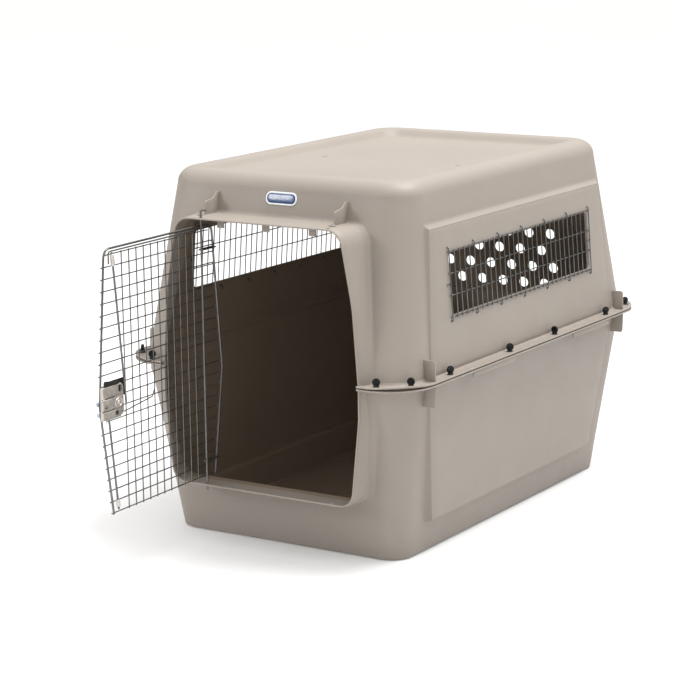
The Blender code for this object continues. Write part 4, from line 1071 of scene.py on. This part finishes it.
def paddle(matrix):
    """Dished round paddle of a wing nut, standing in the XZ plane."""
    face = ((0.02, 0.0016), (0.45, 0.0016), (0.70, 0.0017), (0.82, 0.0023), (0.92, 0.0026), (0.98, 0.0022),
            (1.0, 0.0013))
    rows = []
    for scale, thick in face + tuple((scale, -thick) for scale, thick in reversed(face)):
        reach = PADDLE_RADIUS * scale
        rows.append([matrix @ Vector((reach * cos(angle), thick, PADDLE_Z + reach * sin(angle)))
                     for angle in angles(32)])
    return solid("paddle", rows)


def build_fastener(label, x, y, turn):
    under = SEAM_Z - SEAM_GAP / 2 - WALL - 0.0003
    over = SEAM_Z + SEAM_GAP / 2 + WALL + 0.0003
    place = Matrix.Translation((x, y, 0)) @ Matrix.Rotation(radians(turn), 4, "Z")
    bolt = lathed_object("flange_bolt_%s_turned" % label, [
        (0.0018, under - 0.0040), (0.0040, under - 0.0034), (0.0056, under - 0.0022),
        (0.0065, under - 0.0006), (0.0065, under), (0.0030, under), (0.0030, over + 0.0070),
        (0.0024, over + 0.0078)], 24, place)
    piece(bolt, 40, "carrier_body", "fastener_steel", "steel", "flange_bolt_" + label)
    collar = place @ Matrix.Translation((0, 0, over))
    nut = lathed_object("wing_nut_%s_moulded" % label, [
        (0.0066, 0.0), (0.0072, 0.0006), (0.0072, 0.0014), (0.0062, 0.0024), (0.0056, 0.0050),
        (0.0052, 0.0085), (0.0046, 0.0098), (0.0030, 0.0104)], 24, collar)
    combine(nut, paddle(collar), "UNION")
    piece(nut, 35, "carrier_body", "fastener_plastic", "black", "wing_nut_" + label)


def build_fasteners():
    for index, (x, y, turn) in enumerate(BOLT_POINTS):
        for side_name, sx in (("right", 1), ("left", -1)):
            for end_name, sy in (("rear", 1), ("front", -1)):
                angle = turn * sx + 30 * sy * (index - 1)
                build_fastener("_".join((side_name, end_name, str(index + 1))), sx * x, sy * y, angle)


# ---------------------------------------------------------------- badge
BADGE_Z = 0.8135
BADGE_TURN = pi / 2 - 0.213      # stands on the drafted front wall


def oblong(half_x, half_y, radius, z, steps=10):
    return [Vector((x, y, z)) for x, y in fillet(
        [(half_x, half_y), (-half_x, half_y), (-half_x, -half_y), (half_x, -half_y)], [radius] * 4, steps)]


def build_badge():
    """Blank oblong badge above the doorway: a raised rim around a glossy face."""
    place = Matrix.Translation((0.0, -upper_half(BADGE_Z)[1], BADGE_Z)) @ Matrix.Rotation(BADGE_TURN, 4, "X")
    for name, material, levels in (
            ("badge_rim", "pale", ((0.0, 0.0003), (0.0, 0.0016), (0.0004, 0.0023), (0.0012, 0.0026),
                                   (0.0026, 0.0025), (0.0034, 0.0018), (0.0040, 0.0016))),
            ("badge_face", "blue", ((0.0041, 0.0015), (0.0040, 0.0022), (0.0046, 0.0026), (0.0070, 0.0029),
                                    (0.0110, 0.0031)))):
        obj = solid(name + "_moulded", [
            [place @ point for point in oblong(0.042 - inset, 0.015 - inset, 0.0138 - inset, level)]
            for inset, level in levels])
        piece(obj, 40, "carrier_body", "badge_" + material, material, name)


# ---------------------------------------------------------------- door
FRAME_WIRE = 0.0025
MESH_WIRE = 0.0014
ROWS = 23
ROW_PITCH = 0.0262
ROW_LOW_Z = 0.161
COLUMNS = 11
COLUMN_PITCH = 0.0274
FRAME_Y = -0.0054
COLUMN_Y = -0.0098
ROW_Y = -0.0119
ROW_ENDS = {8: 0.209, 9: 0.1545, 10: 0.1545, 11: 0.1545}
FRAME_TOP = (0.206, 0.752)
FRAME_MID = (0.2385, 0.408)
FRAME_LOW = (0.200, 0.160)
ROD_RADIUS = 0.0024
UPPER_ROD = ((0.1490, 0.4040), (0.1843, 0.7440))
LOWER_ROD = ((0.2136, 0.3772), (0.1890, 0.1700))
UPPER_GRIP = (0.2190, 0.4105)
LOWER_GRIP = (0.2150, 0.3845)
LATCH_TRAVEL = 0.036
UPPER_SLIDER = ((0.1537, 0.4235), (0.2110, 0.4235), (0.2110, 0.4055), (0.2270, 0.4055), (0.2270, 0.4632),
                (0.1578, 0.4632))
LOWER_SLIDER = ((0.1700, 0.3780), (0.2270, 0.3780), (0.2270, 0.4010), (0.1700, 0.4010))
RIVET = (0.183, 0.4125)
COVER_OUT = -0.0062
COVER_IN = -0.0047
LOOP_WIRE = 0.0018
RIVET_HOLE = 0.0034
BOSS_STRETCH = 1.3               # the ring boss is wider than it is tall
THROUGH = -0.0002                # low end of a slot that goes right through the housing
DOOR_TURN = Matrix.Translation((HINGE_X, DOOR_Y, 0)) @ Matrix.Rotation(radians(DOOR_REST), 4, "Z")


def door(x, z, y=0.0):
    """Door drawing coordinates (centred, closed) to the opened rest pose."""
    return DOOR_TURN @ Vector((x - HINGE_X, y, z))


def frame_half(z):
    if z > FRAME_MID[1]:
        share = (z - FRAME_MID[1]) / (FRAME_TOP[1] - FRAME_MID[1])
        return mix(FRAME_MID[0], FRAME_TOP[0], share)
    share = (FRAME_MID[1] - z) / (FRAME_MID[1] - FRAME_LOW[1])
    return mix(FRAME_MID[0], FRAME_LOW[0], share)


def build_door_frame():
    corners = [(-FRAME_LOW[0], FRAME_LOW[1]), (-FRAME_MID[0], FRAME_MID[1]), (-FRAME_TOP[0], FRAME_TOP[1]),
               FRAME_TOP, FRAME_MID, FRAME_LOW]
    bm = bmesh.new()
    add_tube(bm, rounded_path([door(x, z, FRAME_Y) for x, z in corners], 0.020, 10), FRAME_WIRE, 14)
    # lighter tie wire under the top of the frame, turned down beside the upper rod's sleeve
    tie = [(-0.196, 0.7452), (0.1905, 0.7452), (0.1905, 0.7180)]
    add_tube(bm, rounded_path([door(x, z, FRAME_Y + 0.0006) for x, z in tie], 0.006, 6), 0.0017, 10)
    for index in range(ROWS):
        z = ROW_LOW_Z + index * ROW_PITCH
        half = frame_half(z) - 0.001 if index < ROWS - 1 else frame_half(z) - 0.013
        for x in ([-half] if index in ROW_ENDS else [-half, half]):
            add_bead(bm, door(x, z, (FRAME_Y + ROW_Y) / 2 - 0.0003), 0.0021, (1.0, 1.0, 0.85))
    wire_piece("door_frame_wire_bent", bm, "door", "door_frame_wire")


def build_door_mesh():
    bm = bmesh.new()
    top = ROW_LOW_Z + (ROWS - 1) * ROW_PITCH
    columns = [(index - (COLUMNS - 1) / 2) * COLUMN_PITCH for index in range(COLUMNS)]
    for index in range(ROWS):
        z = ROW_LOW_Z + index * ROW_PITCH
        half = frame_half(z)
        if index == ROWS - 1:
            half -= 0.014
        free = ROW_ENDS.get(index, half)
        add_tube(bm, [door(mix(-half, free, step / 16), z, ROW_Y) for step in range(17)], MESH_WIRE)
        for x in columns:
            if x < free:
                add_bead(bm, door(x, z, (ROW_Y + COLUMN_Y) / 2), MESH_WIRE * 1.15)
    low, high = ROW_LOW_Z - 0.003, top + 0.003
    for x in columns:
        add_tube(bm, [door(x, mix(low, high, step / 24), COLUMN_Y) for step in range(25)], MESH_WIRE)
    wire_piece("door_mesh_welded", bm, "door", "door_mesh_panel")


def build_hinge():
    bm = bmesh.new()
    path = rounded_path([Vector((HINGE_X, DOOR_Y, 0)) + Vector(p) for p in (
        (0, 0, 0.130), (0, 0, 0.789), (0.013, 0.004, 0.789))], 0.005, 8)
    add_tube(bm, path, FRAME_WIRE, 16)
    wire_piece("hinge_rod_bent", bm, "carrier_body", "hinge_rod")
    for name, row in (("hinge_loop_upper", 20.5), ("hinge_loop_lower", 1.5)):
        z = ROW_LOW_Z + row * ROW_PITCH
        reach = -frame_half(z) + 0.0032
        bend = FRAME_WIRE + 0.0005 + LOOP_WIRE
        path = [door(reach, z, -bend)]
        for step in range(17):
            angle = -pi / 2 + pi * step / 16
            path.append(door(HINGE_X + bend * cos(angle), z, bend * sin(angle)))
        bm = bmesh.new()
        add_tube(bm, path + [door(reach, z, bend)], LOOP_WIRE, 12)
        wire_piece(name + "_bent", bm, "door", name)


# ---------------------------------------------------------------- latch
def door_plate(name, outline, levels):
    """Closed plate: the outline at each (inset, y) level, inset by shrinking towards its middle."""
    xs, zs = zip(*outline)
    mid = ((min(xs) + max(xs)) / 2, (min(zs) + max(zs)) / 2)
    half = ((max(xs) - min(xs)) / 2, (max(zs) - min(zs)) / 2)
    rows = []
    for inset, y in levels:
        sx, sz = 1 - inset / half[0], 1 - inset / half[1]
        rows.append([door(mid[0] + (x - mid[0]) * sx, mid[1] + (z - mid[1]) * sz, y) for x, z in outline])
    return solid(name, rows)


def door_axis(x, z, turn):
    """Placing of a turned piece whose axis stands across the door at a point."""
    return DOOR_TURN @ Matrix.Translation((x - HINGE_X, 0, z)) @ Matrix.Rotation(turn * pi / 2, 4, "X")


def cut_slots(plate, slots, low, high, use_self=False):
    """Cuts slots, each an outline and its own low end, and the rivet's hole through a plate."""
    bm = bmesh.new()
    for outline, start in slots:
        add_solid(bm, [[door(a, b, y) for a, b in outline] for y in (start, high)])
    add_cylinder(bm, door(*RIVET, low), door(*RIVET, high), RIVET_HOLE, 20)
    bmesh.ops.recalc_face_normals(bm, faces=bm.faces)
    combine(plate, finish_mesh("slots", bm), "DIFFERENCE", use_self)


def rect(x_from, x_to, z_from, z_to, radii):
    if isinstance(radii, float):
        radii = [radii] * 4
    return fillet([(x_from, z_from), (x_to, z_from), (x_to, z_to), (x_from, z_to)], radii, 6)


def slab(y_from, y_to, round_off):
    """Levels of a plate with both faces' edges rounded."""
    step = round_off if y_to > y_from else -round_off
    return ((round_off, y_from), (round_off * 0.3, y_from + step * 0.3), (0.0, y_from + step),
            (0.0, y_to - step), (round_off * 0.3, y_to - step * 0.3), (round_off, y_to))


def build_latch_housing():
    """Stamped plate on the cabin side with three pillowed bands, a ring boss, slots and a curled tab."""
    outline = rect(0.1620, 0.2450, 0.3800, 0.4550, [0.016, 0.002, 0.002, 0.016])
    housing = door_plate("latch_housing_stamped", outline, slab(0.0018, 0.0032, 0.0004))
    for z_from, z_to in ((0.3816, 0.3985), (0.4003, 0.4262), (0.4280, 0.4534)):
        band = rect(0.1650, 0.2435, z_from, z_to, [0.008, 0.002, 0.002, 0.008])
        combine(housing, door_plate("band", band, (
            (0.0, 0.0024), (0.0, 0.0034), (0.0006, 0.0046), (0.0016, 0.0053), (0.0032, 0.0056),
            (0.0060, 0.0057))), "UNION")
    turn = door_axis(*RIVET, -1)
    combine(housing, solid("boss", [circle(radius, height, 32, turn, BOSS_STRETCH) for radius, height in (
        (0.0108, 0.0030), (0.0106, 0.0056), (0.0098, 0.0066), (0.0088, 0.0068), (0.0078, 0.0062),
        (0.0072, 0.0052), (0.0072, 0.0030), (0.0108, 0.0030))], capped=False), "UNION")
    slots = []
    for x, z, half_x, half_z, low in (
            (0.1777, 0.4425, 0.0060, 0.0086, THROUGH), (0.1895, 0.3900, 0.0056, 0.0062, THROUGH),
            (0.228, 0.4080, 0.0058, 0.0016, 0.0016), (0.228, 0.4115, 0.0020, 0.0044, 0.0016),
            (0.2240, 0.4370, 0.0012, 0.0042, 0.0034), (0.2190, 0.39940, 0.0250, 0.0010, THROUGH),
            (0.2190, 0.42710, 0.0250, 0.0010, THROUGH)):
        radius = min(half_x, half_z) * 0.95
        slots.append((rect(x - half_x, x + half_x, z - half_z, z + half_z, radius), low))
    cut_slots(housing, slots, THROUGH, 0.012, use_self=True)
    piece(housing, 35, "door", "stamped_steel", "steel", "latch_housing")
    # curled tab along the housing's top edge, in dark steel that is painted shade of the curl's shadow
    corners = [(0.1760, 0.4530), (0.2325, 0.4530), (0.2325, 0.4665), (0.1800, 0.4560)]
    tab = door_plate("latch_housing_tab", fillet(corners, [0.0005, 0.0005, 0.0030, 0.0005], 4),
                     slab(0.0020, 0.0036, 0.0004))
    bm = bmesh.new()
    add_tube(bm, [door(0.181, 0.4562, 0.0042), door(0.206, 0.4610, 0.0044), door(0.2315, 0.4650, 0.0042)],
             0.0025, 16)
    combine(tab, closed_object("curl", bm), "UNION")
    piece(tab, 40, "door", "stamped_steel", "dark_steel")


def build_latch_cover():
    """Outer plate with two straight slots that guide the finger grips, and two pressed ribs."""
    outline = rect(0.1600, 0.2305, 0.3800, 0.4550, [0.012, 0.004, 0.004, 0.012])
    cover = door_plate("latch_cover_plate_stamped", outline, slab(COVER_OUT, COVER_IN, 0.0004))
    low, high = COVER_OUT - 0.004, COVER_IN + 0.004
    slots = []
    for grip, rod in ((UPPER_GRIP, UPPER_ROD), (LOWER_GRIP, LOWER_ROD)):
        end = Vector(grip) + (Vector(rod[1]) - Vector(rod[0])).normalized() * LATCH_TRAVEL
        low_z, high_z = sorted((grip[1], end.y))
        mid_x = (grip[0] + end.x) / 2
        half = 0.0034 + abs(grip[0] - end.x) / 2
        slots.append((rect(mid_x - half, mid_x + half, low_z - 0.0045, high_z + 0.0045, 0.003), low))
    cut_slots(cover, slots, low, high)
    for z in (0.3850, 0.4490):
        combine(cover, door_plate("rib", rect(0.1660, 0.2100, z - 0.0016, z + 0.0016, 0.0014), (
            (0.0, COVER_OUT + 0.0008), (0.0, COVER_OUT - 0.0003), (0.0005, COVER_OUT - 0.0008),
            (0.0010, COVER_OUT - 0.0010))), "UNION")
    piece(cover, 35, "door", "stamped_steel", "steel", "latch_cover_plate")


def build_latch_rivet():
    rivet = lathed_object("latch_rivet_domed", [
        (0.0010, 0.0083), (0.0026, 0.0080), (0.0040, 0.0073), (0.0050, 0.0064), (0.0053, 0.0058),
        (0.0030, 0.0057), (0.0030, COVER_OUT - 0.0003), (0.0053, COVER_OUT - 0.0004),
        (0.0048, COVER_OUT - 0.0014), (0.0034, COVER_OUT - 0.0023), (0.0012, COVER_OUT - 0.0028)], 28,
        door_axis(*RIVET, -1))
    piece(rivet, 35, "door", "stamped_steel", "steel", "latch_rivet")


def build_slide(name, rod, grip, corners):
    """Slider plate, finger grip and rod of one half of the latch."""
    body = "latch_" + name
    slider = door_plate("latch_slider_%s_stamped" % name, fillet(corners, [0.0015] * len(corners), 4),
                        slab(-0.0008, 0.0008, 0.0003))
    piece(slider, 35, body, "stamped_steel", "dark_steel", "latch_slider_" + name)
    finger = lathed_object("latch_grip_%s_turned" % name, [
        (0.0020, -0.0006), (0.0020, 0.0216), (0.0040, 0.0222), (0.0050, 0.0228), (0.0052, 0.0236),
        (0.0050, 0.0262), (0.0046, 0.0284), (0.0040, 0.0295), (0.0026, 0.0301), (0.0010, 0.0302)], 28,
        door_axis(*grip, 1))
    piece(finger, 35, body, "stamped_steel", "grip", "latch_grip_" + name)
    bm = bmesh.new()
    (x_from, z_from), (x_to, z_to) = rod
    add_tube(bm, [door(mix(x_from, x_to, step / 12), mix(z_from, z_to, step / 12)) for step in range(13)],
             ROD_RADIUS, 14)
    wire_piece("latch_rod_%s_drawn" % name, bm, body, "latch_rod_" + name)


def build_guide(name, rod, share_from, share_to):
    """Rolled sleeve fixed to the door around a latch rod."""
    start = Vector(rod[0])
    span = Vector(rod[1]) - start
    length = span.length * (share_to - share_from)
    first = start + span * share_from
    axis = (door(*(first + span)) - door(*first)).normalized()
    turn = Matrix.Translation(door(*first)) @ axis.to_track_quat("Z", "Y").to_matrix().to_4x4()
    bore = ROD_RADIUS + 0.0005
    sleeve = solid("rod_guide_%s_rolled" % name, [circle(radius, height, 24, turn) for radius, height in (
        (bore, 0.0), (0.0040, 0.0), (0.0046, 0.0006), (0.0046, length - 0.0006), (0.0040, length),
        (bore, length), (bore, 0.0))], capped=False)
    piece(sleeve, 35, "door", "stamped_steel", "steel", "rod_guide_" + name)


def build_stay_wire():
    y = -0.0060
    path = rounded_path((door(0.1580, 0.3870, y), door(0.1480, 0.3835, y), door(0.0420, 0.3950, y),
                         door(0.0310, 0.4150, y)), 0.004, 6)
    bm = bmesh.new()
    add_tube(bm, path, 0.0014, 12)
    wire_piece("latch_stay_wire_bent", bm, "door", "latch_stay_wire")


# ---------------------------------------------------------------- stage, light and camera
def build_stage():
    bm = bmesh.new()
    reach = 45.0
    add_rows(bm, [[Vector((x, y, 0.0)) for x in np.linspace(-reach, reach, 7)]
                  for y in np.linspace(-reach, reach, 7)], closed=False)
    bmesh.ops.recalc_face_normals(bm, faces=bm.faces)
    floor = finish_mesh("studio_floor", bm)
    if floor.data.polygons[0].normal.z < 0:
        floor.data.flip_normals()
    floor.data.materials.append(floor_material())


def area_light(name, place, target, size, power):
    data = bpy.data.lights.new(name, "AREA")
    data.shape = "DISK"
    data.size = size
    data.energy = power
    light = bpy.data.objects.new(name, data)
    bpy.context.scene.collection.objects.link(light)
    light.location = place
    light.rotation_euler = (Vector(target) - Vector(place)).to_track_quat("-Z", "Y").to_euler()


def build_light():
    world = bpy.data.worlds.new("studio")
    bpy.context.scene.world = world
    world.use_nodes = True
    tree = world.node_tree
    back = tree.nodes["Background"]
    coords = tree.nodes.new("ShaderNodeTexCoord")
    facing = tree.nodes.new("ShaderNodeVectorMath")
    facing.operation = "DOT_PRODUCT"
    facing.inputs[1].default_value = (0.08, 0.00, 1.0)
    tree.links.new(coords.outputs["Generated"], facing.inputs[0])
    ramp_node = tree.nodes.new("ShaderNodeValToRGB")
    tree.links.new(facing.outputs["Value"], ramp_node.inputs["Fac"])
    stops = ramp_node.color_ramp.elements
    stops[0].position, stops[0].color = 0.0, (0.12, 0.12, 0.118, 1.0)
    stops[1].position, stops[1].color = 0.75, (1.0, 0.995, 0.985, 1.0)
    tree.links.new(ramp_node.outputs["Color"], back.inputs["Color"])
    back.inputs["Strength"].default_value = 1.50
    area_light("key", (1.3, 0.5, 4.8), (0.0, 0.0, 0.4), 2.0, 225.0)
    area_light("front_fill", (-3.2, -4.6, 2.4), (0.0, -0.3, 0.5), 1.4, 80.0)
    bpy.context.scene.view_settings.view_transform = "Standard"


def build_camera():
    data = bpy.data.cameras.new("photo_view")
    data.sensor_width = 36.0
    data.lens = 121.207
    data.clip_end = 200.0
    camera = bpy.data.objects.new("photo_view", data)
    bpy.context.scene.collection.objects.link(camera)
    forward = Vector((-0.52632, 0.82545, -0.204))
    up = Vector((-0.09869, 0.179, 0.97889))
    right = forward.cross(up).normalized()
    up = right.cross(forward).normalized()
    turn = Matrix((right, up, -forward.normalized())).transposed()
    camera.matrix_world = Matrix.Translation((2.87856, -4.77, 1.55868)) @ turn.to_4x4()
    bpy.context.scene.camera = camera


build_camera()
build_light()
build_stage()
build_shells()
build_grille("window_grille_right", 1)
build_grille("window_grille_left", -1)
build_fasteners()
build_badge()
build_door_frame()
build_door_mesh()
build_hinge()
build_latch_housing()
build_latch_cover()
build_latch_rivet()
build_slide("upper", UPPER_ROD, UPPER_GRIP, UPPER_SLIDER)
build_slide("lower", LOWER_ROD, LOWER_GRIP, LOWER_SLIDER)
build_guide("upper", UPPER_ROD, 0.910, 0.988)
build_guide("lower", LOWER_ROD, 0.888, 0.963)
build_stay_wire()
